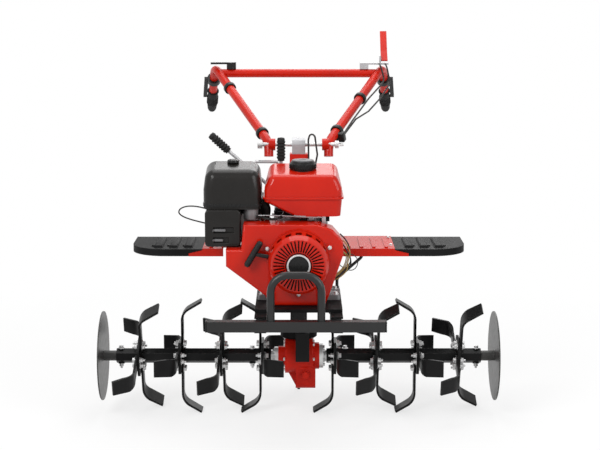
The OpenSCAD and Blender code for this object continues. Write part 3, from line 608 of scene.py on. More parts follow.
def at(point):
    """The move from the origin to a point."""
    return Matrix.Translation(Vector(point))


def stand(way):
    """The turn that takes +Z to a direction."""
    return Vector(way).to_track_quat("Z", "Y").to_matrix().to_4x4()


def join(*pieces):
    """Joins pieces into the first."""
    only(*pieces)
    bpy.ops.object.join()
    return bpy.context.object


def placed(master, places):
    """One joined piece of copies of a master, each with its own mesh, at the given places."""
    made = []
    for place in places:
        one = master.copy()
        one.data = master.data.copy()
        scene.collection.objects.link(one)
        one.matrix_world = place
        made.append(one)
    only(*made)
    bpy.ops.object.transform_apply(location=True, rotation=True, scale=True)
    return join(*made) if len(made) > 1 else made[0]


def copies(master, spots):
    """Copies of a master that stand on (point, direction) spots."""
    return placed(master, [at(point) @ stand(way) for point, way in spots])


def circle(radius, degrees):
    """Points on a circle about the origin, as pairs of numbers, one for each angle."""
    turns = [math.radians(angle) for angle in degrees]
    return [(radius * math.cos(turn), radius * math.sin(turn)) for turn in turns]


print("+Z laid along X:", [round(v) for v in stand((1, 0, 0)) @ Vector((0, 0, 1))])

# %% [markdown]
# ## Finishing a piece
# A finished piece sits at the origin with its place in its mesh, as the solids do, so that a pattern on
# Object coordinates doesn't slide. It then gets its shading, its paint, and the body it moves with.

# %% Settle a piece on its body


def measured(piece):
    """Size of a piece in whole millimetres."""
    corners = [Vector(corner) for corner in piece.bound_box]
    return [round(1000 * (max(c[i] for c in corners) - min(c[i] for c in corners))) for i in range(3)]


def settle(piece, name, body, finish, smooth=35):
    """Names a finished piece, puts its place into its mesh, paints it and hangs it on its body."""
    only(piece)
    bpy.ops.object.transform_apply(location=True, rotation=True, scale=True)
    bpy.ops.object.shade_smooth_by_angle(angle=math.radians(smooth))
    piece.name = name
    piece.data.name = name
    piece.data.materials.clear()
    piece.data.materials.append(finish)
    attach(piece, body)
    print(name, "rides on", body, "with", len(piece.data.polygons), "faces,", measured(piece), "mm")
    return piece


print("bodies to settle on:", sorted(set(body_of.values())))

# %% [markdown]
# ## Rolled rims
# The shroud is pressed from sheet and the control box is moulded, and neither way leaves a sharp front
# rim. A Bevel modifier could round it, but it would round every other edge too, such as the starter's
# seat. So we pick the rim's own edges, by their place on the front face, and bevel those.

# %% Roll the front rim of a cover
roll_and_clearance = {"fan_shroud": (0.008, 0.104), "control_box": (0.004, 0.0)}


def pick_front_rim(front, clearance):
    """Selects the rim of a front face, as far as it is clear of the crankshaft; counts its edges."""
    bpy.ops.mesh.select_mode(type="EDGE")
    bpy.ops.mesh.select_all(action="DESELECT")
    mesh = bpy.context.object.data
    shape = bmesh.from_edit_mesh(mesh)
    count = 0
    for edge in shape.edges:
        if any(abs(v.co.y - front) > 0.0005 for v in edge.verts) or len(edge.link_faces) != 2:
            continue
        side_face, front_face = sorted(abs(face.normal.y) for face in edge.link_faces)
        halfway = (edge.verts[0].co + edge.verts[1].co) / 2
        if side_face < 0.3 and front_face > 0.9 and (halfway - crank).xz.length > clearance:
            edge.select_set(True)
            count += 1
    bmesh.update_edit_mesh(mesh)
    return count


def roll_front(piece, roll, clearance):
    """Rolls the rim of a piece's front face over, as a press or a mould does."""
    front = min(v.co.y for v in piece.data.vertices)
    only(piece)
    bpy.ops.object.mode_set(mode="EDIT")
    edges = pick_front_rim(front, clearance)
    if edges:
        bpy.ops.mesh.bevel(offset=roll, segments=4, affect="EDGES")
    bpy.ops.object.mode_set(mode="OBJECT")
    print(piece.name, "has", edges, "rolled edges")


print("covers with a rolled rim:", sorted(roll_and_clearance))

# %% [markdown]
# ## Smooth shells and bent tubes
# The tank, the air cleaner and the bent tubes are drawn with flat facets. They could be modelled anew,
# but their form is right already. So a copy has its doubles merged and is shaded smoothly wherever two
# facets meet at a small angle, and weighted normals keep its large faces flat.

# %% Smooth copies of faceted solids
shells = (("fan_shroud", "shroud_pressing", 40), ("control_box", "control_box_cover", 40),
          ("fuel_tank", "tank_shell", 42), ("air_cleaner", "air_cleaner_cover", 42),
          ("handle_tubes", "handle_bar_tubes", 38), ("bumper", "bumper_tubes", 38),
          ("fender_stays", "stay_rods", 38), ("shift_levers", "lever_rods", 38),
          ("cables_upper", "cable_jackets", 60), ("cables_lower", "cable_loop", 60))


def smooth_copy(node, name, angle):
    """Stands in for a faceted solid with the same form, smoothly shaded."""
    source = nodes[node]
    piece = source.copy()
    piece.data = source.data.copy()
    for key in list(piece.keys()):
        del piece[key]
    piece.parent = None
    scene.collection.objects.link(piece)
    only(piece)
    bpy.ops.mesh.customdata_custom_splitnormals_clear()
    bpy.ops.object.mode_set(mode="EDIT")
    bpy.ops.mesh.select_all(action="SELECT")
    bpy.ops.mesh.remove_doubles(threshold=0.00002)
    bpy.ops.mesh.dissolve_limited(angle_limit=math.radians(0.5))
    bpy.ops.object.mode_set(mode="OBJECT")
    if node in roll_and_clearance:
        roll_front(piece, *roll_and_clearance[node])
    settle(piece, name, body_of[node], finish_of(node), angle)
    weights = piece.modifiers.new("even_shading", "WEIGHTED_NORMAL")
    weights.keep_sharp = True
    only(piece)
    bpy.ops.object.modifier_apply(modifier=weights.name)
    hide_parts(node)


for node, name, angle in shells:
    smooth_copy(node, name, angle)
print("smooth copies:", len(shells))

# %% [markdown]
# ## Bolts
# A machine like this is held together by some two hundred hexagon bolts. A plain six-sided prism could
# stand for one, but the chamfered crown and the washer are what catches the light. So one of each kind
# is modelled with care, to be copied to every place where two pieces are clamped.

# %% Model a bolt, a nut and a screw
crown_inset = 0.09
crown_rise = 0.14
thread_inset = 0.16


def hex_bolt(across, head, washer, thick, stub=0.0):
    """Head or nut on a washer, standing on z = 0; a stub of thread shows past a nut."""
    corner = across / 2 / math.cos(math.pi / 6)
    piece = start("cylinder", vertices=6, radius=corner, depth=head, location=(0, 0, thick + head / 2))
    pick_faces(lambda spot, way: way.z > 0.9)
    bpy.ops.mesh.inset(thickness=across * crown_inset)
    bpy.ops.transform.translate(value=(0, 0, head * crown_rise))
    bpy.ops.mesh.inset(thickness=across * thread_inset)
    if stub:
        push(0, 0, stub)
    only(piece)
    bpy.ops.object.transform_apply(location=True, rotation=True, scale=True)
    ring = turned([(washer / 2, 0), (washer / 2, thick * 0.7), (washer / 2 - thick * 0.4, thick)], 18)
    return join(piece, ring)


bolt = hex_bolt(across=0.013, head=0.0065, washer=0.021, thick=0.0018)
nut = hex_bolt(across=0.013, head=0.008, washer=0.021, thick=0.0018, stub=0.006)
screw = hex_bolt(across=0.009, head=0.004, washer=0.013, thick=0.001)
print("bolt", measured(bolt), "nut", measured(nut), "screw", measured(screw), "mm")

# %% [markdown]
# ## Shanks of the tines
# The inner end of a tine is a flat bar that keeps its full width down to the tube. The drawn tines narrow
# there, so a bar of the full width is laid over each of them. A bevelled block is enough for a bar. It
# is copied to every tine by walking the stars in the order of the drawing, with the same turns and sides.

# %% Tine shanks
first_star = 0.117
star_pitch = 0.133
star_turn = math.radians(21)
row = [first_star + star_pitch * i for i in range(4)]
stars = [(-row[3], star_turn, 1), (-row[2], 0, 1), (-row[1], star_turn, 1), (-row[0], 0, -1),
         (row[0], 0, -1), (row[1], star_turn, 1), (row[2], 0, -1), (row[3], star_turn, 1)]
shank_size = (0.0074, 0.038, 0.094)
shank_out = 0.071
shank_aside = 0.007


def tines():
    """Place on the axle, side of its plate and turn of each tine."""
    for x, turn, way in stars:
        for i in range(4):
            yield x, way * (1 if i % 2 == 0 else -1), turn + i * math.pi / 2


shank = block(shank_size, (0, 0, shank_out), 0.001)
close_up()
shank_places = [at(axle + Vector((x + side * shank_aside, 0, 0))) @ Matrix.Rotation(angle, 4, "X")
                for x, side, angle in tines()]
settle(placed(shank, shank_places), "tine_shanks", "rotor", dark_steel)
bpy.data.objects.remove(shank)

# %% [markdown]
# ## Bolts of the tines
# Two bolts clamp each shank to the square plate of its star, with the heads on the tine and the nuts on
# the plate. An array modifier could repeat them, but the tines change sides by turns. So each spot is
# worked out from the turn of its tine.

# %% Tine bolts
plate_face = 0.004
tine_face = 0.0105
bolt_out = 0.041
bolt_aside = 0.0105


def tine_spots(face, facing):
    """Spots on all tines, for bolts that face away from the plate (1) or out of its back (-1)."""
    spots = []
    for x, tine_side, angle in tines():
        out = Vector((0, -math.sin(angle), math.cos(angle)))
        across = Vector((0, math.cos(angle), math.sin(angle)))
        side = facing * tine_side
        for shift in (-bolt_aside, bolt_aside):
            point = axle + out * bolt_out + across * shift + Vector((x + side * face, 0, 0))
            spots.append((point, (side, 0, 0)))
    return spots


settle(copies(bolt, tine_spots(tine_face, 1)), "tine_bolt_heads", "rotor", bright_steel)
settle(copies(nut, tine_spots(plate_face, -1)), "tine_bolt_nuts", "rotor", bright_steel)

# %% [markdown]
# ## Tube pins
# A bolt through each end of the hexagonal tubes locks it to the output shaft on the inside and to the
# stub of the guard disc on the outside. Only head and nut show, so the shank isn't modelled.

# %% Tube pins
pin_reaches = (0.150, 0.575)
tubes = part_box("tine_tubes")
pin_places = [side * reach for side in (-1, 1) for reach in pin_reaches]
pin_heads = copies(bolt, [((x, axle.y, tubes[1].z), (0, 0, 1)) for x in pin_places])
pin_nuts = copies(nut, [((x, axle.y, tubes[0].z), (0, 0, -1)) for x in pin_places])
settle(join(pin_heads, pin_nuts), "tube_pins", "rotor", bright_steel)

# %% [markdown]
# ## Bolts on the frame
# These sit where the real machine is clamped: the engine's feet, the flange between gearbox and gear
# case, and the covers at the back and on the sides of the gearbox. The spots could be clicked one by
# one, but rows and circles measured from the solids stay right when a solid changes.

# %% Frame bolts
foot_x = 0.116
foot_inset = 0.014
foot_height = 0.016
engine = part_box("engine_block")
foot_top = engine[0].z + foot_height
frame_spots = [((x, y, foot_top), (0, 0, 1)) for x in (-foot_x, foot_x)
               for y in (engine[0].y + foot_inset, engine[1].y - foot_inset)]
flange_back = 0.034
flange_up = 0.012
flange_down = 0.014
flange_circle = circle(0.048, range(30, 390, 60))
flange = Vector((0, axle.y + flange_back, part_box("gear_case")[1].z))
frame_spots += [(flange + Vector((x, y, flange_up)), (0, 0, 1)) for x, y in flange_circle]
frame_spots += [(flange + Vector((x, y, -flange_down)), (0, 0, -1)) for x, y in flange_circle]
boss_height = 0.012
back_cover_x = 0.052
side_cover_x = 0.080
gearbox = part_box("gearbox")
box_top = gearbox[1].z - boss_height
back_rows = [box_top - 0.025 - 0.06 * i for i in range(5)]
side_rows = [box_top - 0.03, box_top - 0.06]
frame_spots += [((x, gearbox[1].y, z), (0, 1, 0)) for x in (-back_cover_x, back_cover_x) for z in back_rows]
frame_spots += [((side * side_cover_x, axle.y + y, z), (side, 0, 0)) for side in (-1, 1)
                for y in (0.085, 0.215) for z in side_rows]
settle(copies(bolt, frame_spots), "frame_bolts", "frame", bright_steel)

# %% [markdown]
# ## Flange band
# The joint between the red gear case and the black gearbox is painted black all round. It could be a
# second colour on the case, but its upper edge would need a mask. A thin turned band is simpler.

# %% Flange band
band_in, band_edge, band_out = 0.0560, 0.0586, 0.0594
band = turned([(band_in, -0.0145), (band_edge, -0.0145), (band_out, -0.0137), (band_out, 0.0117),
               (band_edge, 0.0125), (band_in, 0.0125), (band_in, -0.0145)], 56)
band.location = flange
settle(band, "flange_band", "frame", black_paint)

# %% [markdown]
# ## Small screws
# Smaller screws hold the starter's three ears, the caps of the axle's bearings, the fenders and the sides
# of the gear case. They could each be modelled in place, but they are all alike, so one screw is copied
# and laid out in circles and rows.

# %% Small screws
shroud_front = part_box("fan_shroud")[0].y
ear_reach = 0.104
ear_thick = 0.003
ear_angles = (24, 158, 270)
ears = [crank + Vector((x, 0, z)) for x, z in circle(ear_reach, ear_angles)]
screw_spots = [((ear.x, shroud_front - ear_thick, ear.z), (0, -1, 0)) for ear in ears]
for side, radius, face in ((-1, 0.0225, 0.078), (1, 0.033, 0.079)):
    for y, z in circle(radius, range(45, 360, 90)):
        screw_spots.append((axle + Vector((side * face, y, z)), (side, 0, 0)))
fender_screw_x = 0.296
fender_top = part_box("fenders_inner")[1].z - 0.003
screw_spots += [((side * fender_screw_x, axle.y + y, fender_top), (0, 0, 1)) for side in (-1, 1)
                for y in (0.02, 0.16)]
for side, radius, face, last_angle in ((-1, 0.046, 0.044, 300), (1, 0.048, 0.046, 180)):
    for y, z in circle(radius, range(0, last_angle + 1, 60)):
        screw_spots.append((axle + Vector((side * face, y, z)), (side, 0, 0)))
settle(copies(screw, screw_spots), "small_screws", "frame", bright_steel)

# %% [markdown]
# ## The starter's face
# The recoil starter is the middle of the front view. Its slots open on a dark fan, and its blank disc
# has a bright rim. The fan's blades can't be seen through such narrow slots, so a flat turned ring
# stands for it. The rim is turned too, with a round lip.

# %% Fan and rim
fan_depth = 0.020
rim_depth = 0.003
fan = turned([(0.030, 0), (0.084, 0), (0.084, 0.003), (0.030, 0.003), (0.030, 0)], 48)
fan.matrix_world = at((crank.x, starter[0].y + fan_depth, crank.z)) @ stand((0, -1, 0))
settle(fan, "starter_fan", "frame", dark_steel)
disc_rim = turned([(0.0305, 0), (0.0355, 0), (0.0365, 0.003), (0.0350, 0.0055), (0.0315, 0.0060),
                   (0.0305, 0.004), (0.0305, 0)], 48)
disc_rim.matrix_world = at((crank.x, starter[0].y + rim_depth, crank.z)) @ stand((0, -1, 0))
settle(disc_rim, "starter_rim", "frame", bright_steel)

# %% [markdown]
# ## The starter's ears
# Three flat ears hold the starter on the shroud. An ear is a strip with a round end: a block of which
# two upright edges get a bevel so wide that they meet. It is then turned to point away from the shaft.

# %% Ears
ear = block((0.026, 0.034, ear_thick), (0, -0.006, ear_thick / 2))
pick_edges(lambda spot, way: abs(way.z) > 0.9 and spot.y > 0)
bpy.ops.mesh.bevel(offset=0.0115, segments=6, affect="EDGES")
close_up()
upright = Matrix.Rotation(math.pi / 2, 4, "X")
ear_places = [at((spot.x, shroud_front, spot.z)) @ upright @ Matrix.Rotation(math.radians(angle - 90), 4, "Z")
              for angle, spot in zip(ear_angles, ears)]
settle(placed(ear, ear_places), "starter_ears", "frame", red_paint)
bpy.data.objects.remove(ear)

# %% [markdown]
# ## Filler cap
# The cap is a black moulding with finger ribs round its skirt and a shallow grey lid. The ribs could be
# cut into the skirt, but small blocks that stand on it give the same look and leave the solid alone.

# %% Filler cap ribs and lid
rib_step = 10
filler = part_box("fuel_cap")
cap_middle = middle(filler)
cap_radius = (filler[1].x - filler[0].x) / 2
rib = block((0.004, 0.003, 0.015), bevel=0.0009)
close_up()
rib_angles = range(0, 360, rib_step)
rib_places = [at(cap_middle + Vector((x, y, -0.001))) @ Matrix.Rotation(math.radians(angle), 4, "Z")
              for angle, (x, y) in zip(rib_angles, circle(cap_radius, rib_angles))]
settle(placed(rib, rib_places), "filler_cap_ribs", "frame", black_plastic)
bpy.data.objects.remove(rib)
lid_sink = 0.0035
lid = turned([(0.0345, 0), (0.0345, 0.0035), (0.0330, 0.0045), (0.012, 0.0050), (0.010, 0.0035),
              (0.001, 0.0033)], 40)
lid.location = (cap_middle.x, cap_middle.y, filler[1].z - lid_sink)
settle(lid, "filler_cap_lid", "frame", grey_plastic)

# %% [markdown]
# ## Tank seam
# The tank is two deep pressings, welded round the middle, and their flanges stand out as a thin bead. It
# could be a curve with a round section, but a flange is flat. So it is a block with rounded corners,
# whose broad faces are drawn in a little, so that the rim catches the light.

# %% Tank seam bead
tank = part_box("fuel_tank")
tank_middle = middle(tank)
tank_size = tank[1] - tank[0]
seam_height = 0.7215
seam_proud = 0.003
seam = block((tank_size.x + seam_proud, tank_size.y + seam_proud, 0.0045))
pick_edges(lambda spot, way: abs(way.z) > 0.9)
bpy.ops.mesh.bevel(offset=0.026, segments=8, affect="EDGES")
pick_faces(lambda spot, way: abs(way.z) > 0.9)
bpy.ops.mesh.inset(thickness=0.0012)
bpy.ops.transform.resize(value=(1, 1, 1.5))
close_up()
seam.location = (tank_middle.x, tank_middle.y, seam_height)
settle(seam, "tank_seam", "frame", red_tube)

# %% [markdown]
# ## Air cleaner trim
# The cover of the air cleaner meets its base at a moulded bead and is held by a knob on top. The bead
# could be part of the cover, but as a piece of its own it keeps a crisp line. It is made like the seam
# of the tank, and the knob is turned.

# %% Air cleaner bead and knob
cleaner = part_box("air_cleaner")
cleaner_middle = middle(cleaner)
cleaner_size = cleaner[1] - cleaner[0]
bead = block((cleaner_size.x + 0.004, cleaner_size.y + 0.002, 0.009))
pick_edges(lambda spot, way: abs(way.z) > 0.9)
bpy.ops.mesh.bevel(offset=0.031, segments=8, affect="EDGES")
pick_faces(lambda spot, way: abs(way.z) < 0.1)
bpy.ops.mesh.inset(thickness=0.002)
close_up()
bead_height = 0.012
bead.location = (cleaner_middle.x, cleaner_middle.y, cleaner[0].z + bead_height)
settle(bead, "air_cleaner_bead", "frame", black_plastic)
knob = turned([(0.006, 0), (0.006, 0.004), (0.017, 0.006), (0.019, 0.010), (0.018, 0.016), (0.012, 0.019),
               (0.004, 0.0195)], 28)
knob_back = 0.02
knob_sink = 0.010
knob.location = (cleaner_middle.x, cleaner_middle.y + knob_back, cleaner[1].z - knob_sink)
settle(knob, "air_cleaner_knob", "frame", black_plastic)

# %% [markdown]
# ## Engine levers
# The box below the air cleaner carries two small levers, each in its own slot. A lever is a strip with a
# finger tip that leans out, so one end of a block is extruded at a slant.

# %% Engine levers
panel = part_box("control_box")
panel_middle = middle(panel)
tip_lean = (-0.006, -0.008, 0)
levers = []
for drop, shift, length in ((0.062, -0.008, 0.034), (0.093, -0.012, 0.026)):
    lever = block((length, 0.014, 0.007), (0, 0.002, 0), 0.0015)
    pick_faces(lambda spot, way: way.x < -0.9)
    push(*tip_lean)
    close_up()
    lever.location = (panel_middle.x + shift, panel[0].y + 0.002, panel[1].z - drop)
    levers.append(lever)
settle(join(*levers), "engine_levers", "frame", grey_plastic)

# %% [markdown]
# ## Lever boots
# Rubber bellows keep dirt out of the gearbox where the two shift levers go in. The folds could be a
# displaced cone, but turned rings that step in and out give each fold a clean edge.

# %% Lever boots
boot_places = ((-0.050, 0.150), (-0.057, 0.084))
folds = 6
fold_pitch = 0.0065
bellows = [(0.024, 0.0)]
for i in range(folds):
    bellows += [(0.0235 - 0.0022 * i, 0.003 + fold_pitch * i), (0.0190 - 0.0019 * i, 0.0062 + fold_pitch * i)]
bellows += [(0.0072, 0.043), (0.0068, 0.047)]
boot = turned(bellows, 28)
boots = placed(boot, [at((x, axle.y + y, box_top)) for x, y in boot_places])
settle(boots, "lever_boots", "frame", grip_rubber)
bpy.data.objects.remove(boot)

# %% [markdown]
# ## Bumper ends
# Plastic plugs close the square tube of the bumper. A plug is a flat block with a dished outer face. The
# left one could be mirrored, but that turns a mesh inside out, so the same plug is turned round.

# %% Bumper plugs
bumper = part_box("bumper")
tube_half = 0.016
plug_half = 0.0025
plug = block((2 * plug_half, 0.033, 0.033), bevel=0.0022, segments=3)
pick_faces(lambda spot, way: way.x > 0.9)
bpy.ops.mesh.inset(thickness=0.005)
bpy.ops.transform.translate(value=(-0.001, 0, 0))
close_up()
tube_y, tube_z = bumper[0].y + tube_half, bumper[0].z + tube_half
left_end = at((bumper[0].x - plug_half, tube_y, tube_z)) @ Matrix.Rotation(math.pi, 4, "Z")
right_end = at((bumper[1].x + plug_half, tube_y, tube_z))
settle(placed(plug, [left_end, right_end]), "bumper_plugs", "frame", black_plastic)
bpy.data.objects.remove(plug)

# %% [markdown]
# ## Oil plugs
# A plug on the gearbox is taken out to fill it, and one in front of the gear case lets the oil out. Both
# are large hexagon heads, so the bolt function makes them.

# %% Oil plugs
oil_plug = hex_bolt(across=0.022, head=0.010, washer=0.032, thick=0.003)
fill_plug = copies(oil_plug, [((0.045, axle.y + 0.105, box_top), (0, 0, 1))])
settle(fill_plug, "filler_plug", "frame", grey_steel)
drain_plug = copies(oil_plug, [((0.022, axle.y - 0.048, axle.z - 0.050), (0, -1, 0))])
settle(drain_plug, "drain_plug", "frame", red_cast)
bpy.data.objects.remove(oil_plug)

# %% [markdown]
# ## Cable clips
# Black clips and a holder keep the cables on the side tubes of the handlebar. A side tube runs straight
# from its foot to the upper bend, so a place on it is a share of that line, and a turned ring that
# stands along the line fits round the tube.

# %% Cable clips and holder
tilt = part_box("tilt_bolt")
tilt_middle = middle(tilt)
tube_foot = Vector((0.100, 0.006, 0.006))
tube_bend = Vector((0.304, 0.462, 0.230))
clip_shares = {1: (0.13, 0.55), -1: (0.10, 0.69)}
holder_share = 0.11
holder_aside = Vector((0.017, -0.002, -0.010))


def side_tube(side):
    """Foot and upper bend of one side tube."""
    hinge = Vector((0, tilt_middle.y, tilt_middle.z))
    mirror = Vector((side, 1, 1))
    return hinge + tube_foot * mirror, hinge + tube_bend * mirror


clip = turned([(0.0150, 0), (0.0205, 0), (0.0216, 0.002), (0.0216, 0.014), (0.0205, 0.016), (0.0150, 0.016),
               (0.0150, 0)], 32)
clip_spots = []
for side, shares in clip_shares.items():
    foot, bend = side_tube(side)
    clip_spots += [(foot.lerp(bend, share), bend - foot) for share in shares]
settle(copies(clip, clip_spots), "cable_clips", "handlebar", black_plastic)
bpy.data.objects.remove(clip)
holder = block((0.036, 0.034, 0.022), bevel=0.004, segments=3)
pick_faces(lambda spot, way: way.z > 0.9)
bpy.ops.mesh.inset(thickness=0.004)
bpy.ops.transform.translate(value=(0, 0, 0.002))
close_up()
foot, bend = side_tube(1)
holder.matrix_world = at(foot.lerp(bend, holder_share) + holder_aside) @ stand(bend - foot)
settle(holder, "cable_holder", "handlebar", black_plastic)

# %% [markdown]
# ## Grip rings and tilt nut
# The rubber grips have a collar and raised finger rings, and the levers on them are held by a screw. A
# wing nut clamps the tilt of the handlebar. Its wings are the ends of a block, moved outwards.

# %% Grip rings, wing nut and lever screws
grip_slope = math.radians(38)
grip_spread = 0.09
grip_start = 0.150
ring_places = (0.004, 0.042, 0.051, 0.060, 0.069, 0.078)
lever_place = 0.080
lever_top = Vector((0, 0, 0.0248))


def grip_way(side):
    """Direction of the grip on one side."""
    way = Vector((side * grip_spread, math.cos(grip_slope), -math.sin(grip_slope)))
    return way / math.hypot(grip_spread, 1)


ring = turned([(0.0165, 0), (0.0206, 0), (0.0214, 0.002), (0.0206, 0.004), (0.0165, 0.004), (0.0165, 0)], 28)
ring_spots = []
lever_spots = []
for side in (-1, 1):
    foot, bend = side_tube(side)
    way = grip_way(side)
    ring_spots += [(bend + way * (grip_start + place), way) for place in ring_places]
    lever_spots.append((bend + way * lever_place + lever_top, (0, 0, 1)))
settle(copies(ring, ring_spots), "grip_rings", "handlebar", grip_rubber)
bpy.data.objects.remove(ring)
wing = block((0.012, 0.050, 0.006), (0.006, 0, 0), 0.002)
pick_faces(lambda spot, way: abs(way.y) > 0.9)
bpy.ops.transform.translate(value=(0.008, 0, 0))
close_up()
wing.location = (tilt[1].x - 0.003, tilt_middle.y, tilt_middle.z)
settle(wing, "tilt_wing_nut", "turret", bright_steel)
settle(copies(screw, lever_spots), "lever_screws", "handlebar", bright_steel)

# %% [markdown]
# ## Hoses and wires
# Between the tank and the shroud an engine is busy with a fuel hose and wires, and a loom hangs beside
# it. They could be swept along edges, but a path with a round section is quicker to lay: five control
# points are given, and the curve is then made a mesh.

# %% Fuel hose and stop wire


def hose(route, radius):
    """A round hose along a smooth path by five control points, whose depth is measured from the axle."""
    only()
    bpy.ops.curve.primitive_nurbs_path_add(location=(0, 0, 0))
    path = bpy.context.object
    line = path.data.splines[0]
    for knot, (x, y, z) in zip(line.points, route):
        knot.co = (x, axle.y + y, z, 1)
    line.order_u = 4
    path.data.resolution_u = 8
    path.data.bevel_depth = radius
    path.data.bevel_resolution = 3
    path.data.use_fill_caps = True
    bpy.ops.object.convert(target="MESH")
    bpy.ops.object.mode_set(mode="EDIT")
    close_up()
    return bpy.context.object


fuel_hose = hose(((-0.045, -0.110, 0.672), (-0.050, -0.150, 0.662), (-0.085, -0.175, 0.656),
                  (-0.120, -0.150, 0.664), (-0.140, -0.105, 0.660)), 0.0042)
settle(fuel_hose, "fuel_hose", "frame", smooth_plastic)
stop_wire = hose(((-0.285, -0.115, 0.684), (-0.345, -0.120, 0.705), (-0.405, -0.125, 0.672),
                  (-0.335, -0.130, 0.652), (-0.285, -0.125, 0.640)), 0.0022)
settle(stop_wire, "stop_wire", "frame", cable_jacket)

# %% [markdown]
# ## The loom
# At the side of the engine hangs a loose bundle: dark wires in loops, and tan ones beside them. Each wire
# has its own route, and three of the tan ones run side by side, so a loop shifts one route.

# %% Dark and tan wires
dark_wires = [
    hose(((0.128, -0.150, 0.612), (0.165, -0.155, 0.580), (0.148, -0.165, 0.540), (0.176, -0.150, 0.505),
          (0.108, -0.140, 0.470)), 0.0020),
    hose(((0.128, -0.140, 0.592), (0.160, -0.150, 0.545), (0.170, -0.155, 0.520), (0.135, -0.165, 0.495),
          (0.102, -0.140, 0.455)), 0.0022),
    hose(((0.124, -0.145, 0.548), (0.186, -0.150, 0.556), (0.192, -0.150, 0.494), (0.150, -0.150, 0.490),
          (0.120, -0.145, 0.520)), 0.0014),
]
settle(join(*dark_wires), "wiring_loom", "frame", cable_jacket)
wire_gap = 0.004
tan_wires = [hose(((0.130, -0.160, 0.600), (0.172, -0.160, 0.560), (0.140, -0.170, 0.530),
                   (0.160, -0.160, 0.490), (0.104, -0.150, 0.462)), 0.0018)]
for gap in (0, wire_gap, 2 * wire_gap):
    tan_wires.append(hose(((0.124, -0.150, 0.560), (0.152 + gap, -0.155, 0.552), (0.146 + gap, -0.160, 0.522),
                           (0.134 + gap, -0.160, 0.497), (0.100, -0.150, 0.474 - gap)), 0.0015))
settle(join(*tan_wires), "tan_wire", "frame", tan_jacket)

# %% [markdown]
# ## Governor rod
# A thin rod with a spring links the governor's arm to the carburettor. The spring could be a helix, but
# it is so small that turned ridges look the same. The arm is a block with one end pushed out at a slant.

# %% Governor rod
coils = 12
coil_pitch = 0.0032
rod = hose(((-0.125, -0.140, 0.668), (-0.080, -0.142, 0.668), (-0.020, -0.142, 0.666), (0.030, -0.142, 0.662),
            (0.075, -0.140, 0.662)), 0.0016)
coil_rings = []
for i in range(coils):
    coil_rings += [(0.0046, coil_pitch * i), (0.0030, coil_pitch * (i + 0.5))]
coil = turned(coil_rings, 16)
coil.matrix_world = at((-0.015, axle.y - 0.142, 0.6658)) @ stand((1, 0, -0.06))
arm = block((0.012, 0.004, 0.034), bevel=0.0012)
pick_faces(lambda spot, way: way.z > 0.9)
push(0.010, 0, 0.006)
close_up()
arm.location = (0.078, axle.y - 0.138, 0.656)
settle(join(rod, coil, arm), "governor_rod", "frame", steel_rod)

# %% [markdown]
# ## Fuel tap
# A tap under the tank shuts the fuel off. Its body is a small casting with a boss in front, so a bevelled
# block has its front face inset and pushed out.

# %% Fuel tap
tap = block((0.026, 0.020, 0.016), bevel=0.003, segments=3)
pick_faces(lambda spot, way: way.y < -0.9)
bpy.ops.mesh.inset(thickness=0.003)
push(0, -0.006, 0)
close_up()
tap.location = (0.040, axle.y - 0.126, 0.657)
settle(tap, "fuel_tap", "frame", dull_alloy)

# %% [markdown]
# ## Intake elbow
# A rubber elbow brings air from the cleaner to the carburettor. It is bent like a hose and only thicker,
# so the hose function makes it.

# %% Intake elbow
elbow = hose(((-0.150, -0.070, 0.700), (-0.118, -0.075, 0.702), (-0.102, -0.078, 0.690),
              (-0.100, -0.075, 0.668), (-0.110, -0.065, 0.640)), 0.0150)
settle(elbow, "intake_elbow", "frame", grip_rubber)

# %% [markdown]
# ## Silencer guard
# A slotted plate on four posts keeps hands off the hot silencer. Slots could be cut with a boolean, but
# a grid is cleaner: every second column is deleted between the borders, and what is left is thickened.

# %% Silencer guard
guard_width = 0.104
guard_height = 0.086
columns = 11
slot_half = 0.030
guard_middle = Vector((-0.166, axle.y + 0.128, 0.654))
guard = start("grid", x_subdivisions=columns, y_subdivisions=6, size=1.0)
bpy.ops.transform.resize(value=(guard_width, guard_height, 1))
pick_faces(lambda spot, way: abs(spot.y) < slot_half
           and int((spot.x / guard_width + 0.5) * columns) % 2 == 1)
bpy.ops.mesh.delete(type="FACE")
bpy.ops.object.mode_set(mode="OBJECT")
thickness = guard.modifiers.new("thickness", "SOLIDIFY")
thickness.thickness = 0.0015
only(guard)
bpy.ops.object.modifier_apply(modifier=thickness.name)
guard.matrix_world = at(guard_middle) @ Matrix.Rotation(math.pi / 2, 4, "X")
post_back = -0.0065
post = turned([(0.0045, 0), (0.0045, 0.0066), (0.0036, 0.0076), (0.0010, 0.0080)], 14)
posts = copies(post, [(guard_middle + Vector((x, post_back, z)), (0, 1, 0)) for x in (-0.047, 0.047)
                      for z in (-0.037, 0.037)])
bpy.data.objects.remove(post)
settle(join(guard, posts), "silencer_guard", "frame", hot_steel)

# %% [markdown]
# ## Fender ridges
# The black ends of the fenders are pressed into broad ridges that stiffen the sheet. A ridge is a block
# whose top is drawn in and whose upper edges are rounded, and it sinks into the fender with its foot.

# %% Fender ridges
ridge_reaches = (0.353, 0.401, 0.449)
ridge_back = 0.075
ridge_sink = 0.0005
ridge = block((0.034, 0.170, 0.010))
pick_faces(lambda spot, way: way.z > 0.9)
bpy.ops.transform.resize(value=(0.62, 0.92, 1))
pick_edges(lambda spot, way: spot.z > 0)
bpy.ops.mesh.bevel(offset=0.0028, segments=3, affect="EDGES")
close_up()
ridges = placed(ridge, [at((side * reach, axle.y + ridge_back, fender_top - ridge_sink))
                        for side in (-1, 1) for reach in ridge_reaches])
settle(ridges, "fender_ridges", "frame", black_paint, 50)
bpy.data.objects.remove(ridge)

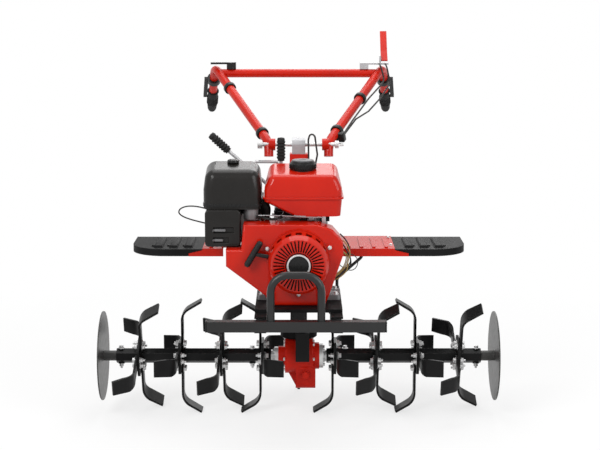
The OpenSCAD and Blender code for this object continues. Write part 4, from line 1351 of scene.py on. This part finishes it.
# %% [markdown]
# ## Engine side cover
# The side of the crankcase is closed by a round cast cover with a raised middle. It could be turned, but
# insets and extrusions of a disc show better how a casting steps up and down. Six screws hold it, and a
# seventh below it drains the oil.

# %% Side cover and its screws
foot_reach = 0.038
cover_face = engine[1].x - foot_reach
cover_y = middle(engine).y
cover = start("cylinder", vertices=40, radius=0.060, depth=0.008, location=(0, 0, 0.004))
pick_faces(lambda spot, way: way.z > 0.9)
bpy.ops.mesh.inset(thickness=0.010)
push(0, 0, 0.007)
bpy.ops.transform.resize(value=(0.86, 0.86, 1))
bpy.ops.mesh.inset(thickness=0.012)
push(0, 0, -0.004)
pick_edges(lambda spot, way: spot.z > 0.005)
bpy.ops.mesh.bevel(offset=0.0012, segments=2, affect="EDGES")
close_up()
only(cover)
bpy.ops.object.transform_apply(location=True, rotation=True, scale=True)
cover.matrix_world = at((cover_face, cover_y, crank.z)) @ stand((1, 0, 0))
settle(cover, "engine_side_cover", "frame", engine_alloy)
cover_spots = [((cover_face + 0.008, cover_y + y, crank.z + z), (1, 0, 0))
               for y, z in circle(0.054, range(30, 390, 60))]
cover_spots.append(((cover_face, cover_y + 0.030, foot_top + 0.020), (1, 0, 0)))
settle(copies(screw, cover_spots), "engine_side_screws", "frame", bright_steel)

# %% [markdown]
# ## Oil cap and stake pin
# Two last turned pieces: the black cap of the engine's oil filler, and the pin that holds the drag stake
# in its socket, of which the knob shows on the side. Both are round all over, so rings are all they need.

# %% Oil cap and stake pin
oil_cap = turned([(0.010, 0), (0.010, 0.002), (0.0145, 0.003), (0.0150, 0.005), (0.0150, 0.009),
                  (0.0135, 0.011), (0.003, 0.0115)], 24)
oil_cap.matrix_world = at((cover_face, cover_y - 0.030, foot_top + 0.026)) @ stand((1, 0, 0))
settle(oil_cap, "engine_oil_cap", "frame", black_plastic)
stake_middle = middle(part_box("drag_stake"))
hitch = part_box("hitch")
pin_sink = 0.002
pin = turned([(0.001, 0), (0.0045, 0), (0.0045, 0.010), (0.011, 0.011), (0.012, 0.013), (0.011, 0.016),
              (0.001, 0.017)], 20)
pin.matrix_world = at((hitch[1].x - pin_sink, stake_middle.y, middle(hitch).z)) @ stand((1, 0, 0))
settle(pin, "stake_pin", "frame", bright_steel)
for master in (bolt, nut, screw):
    bpy.data.objects.remove(master)
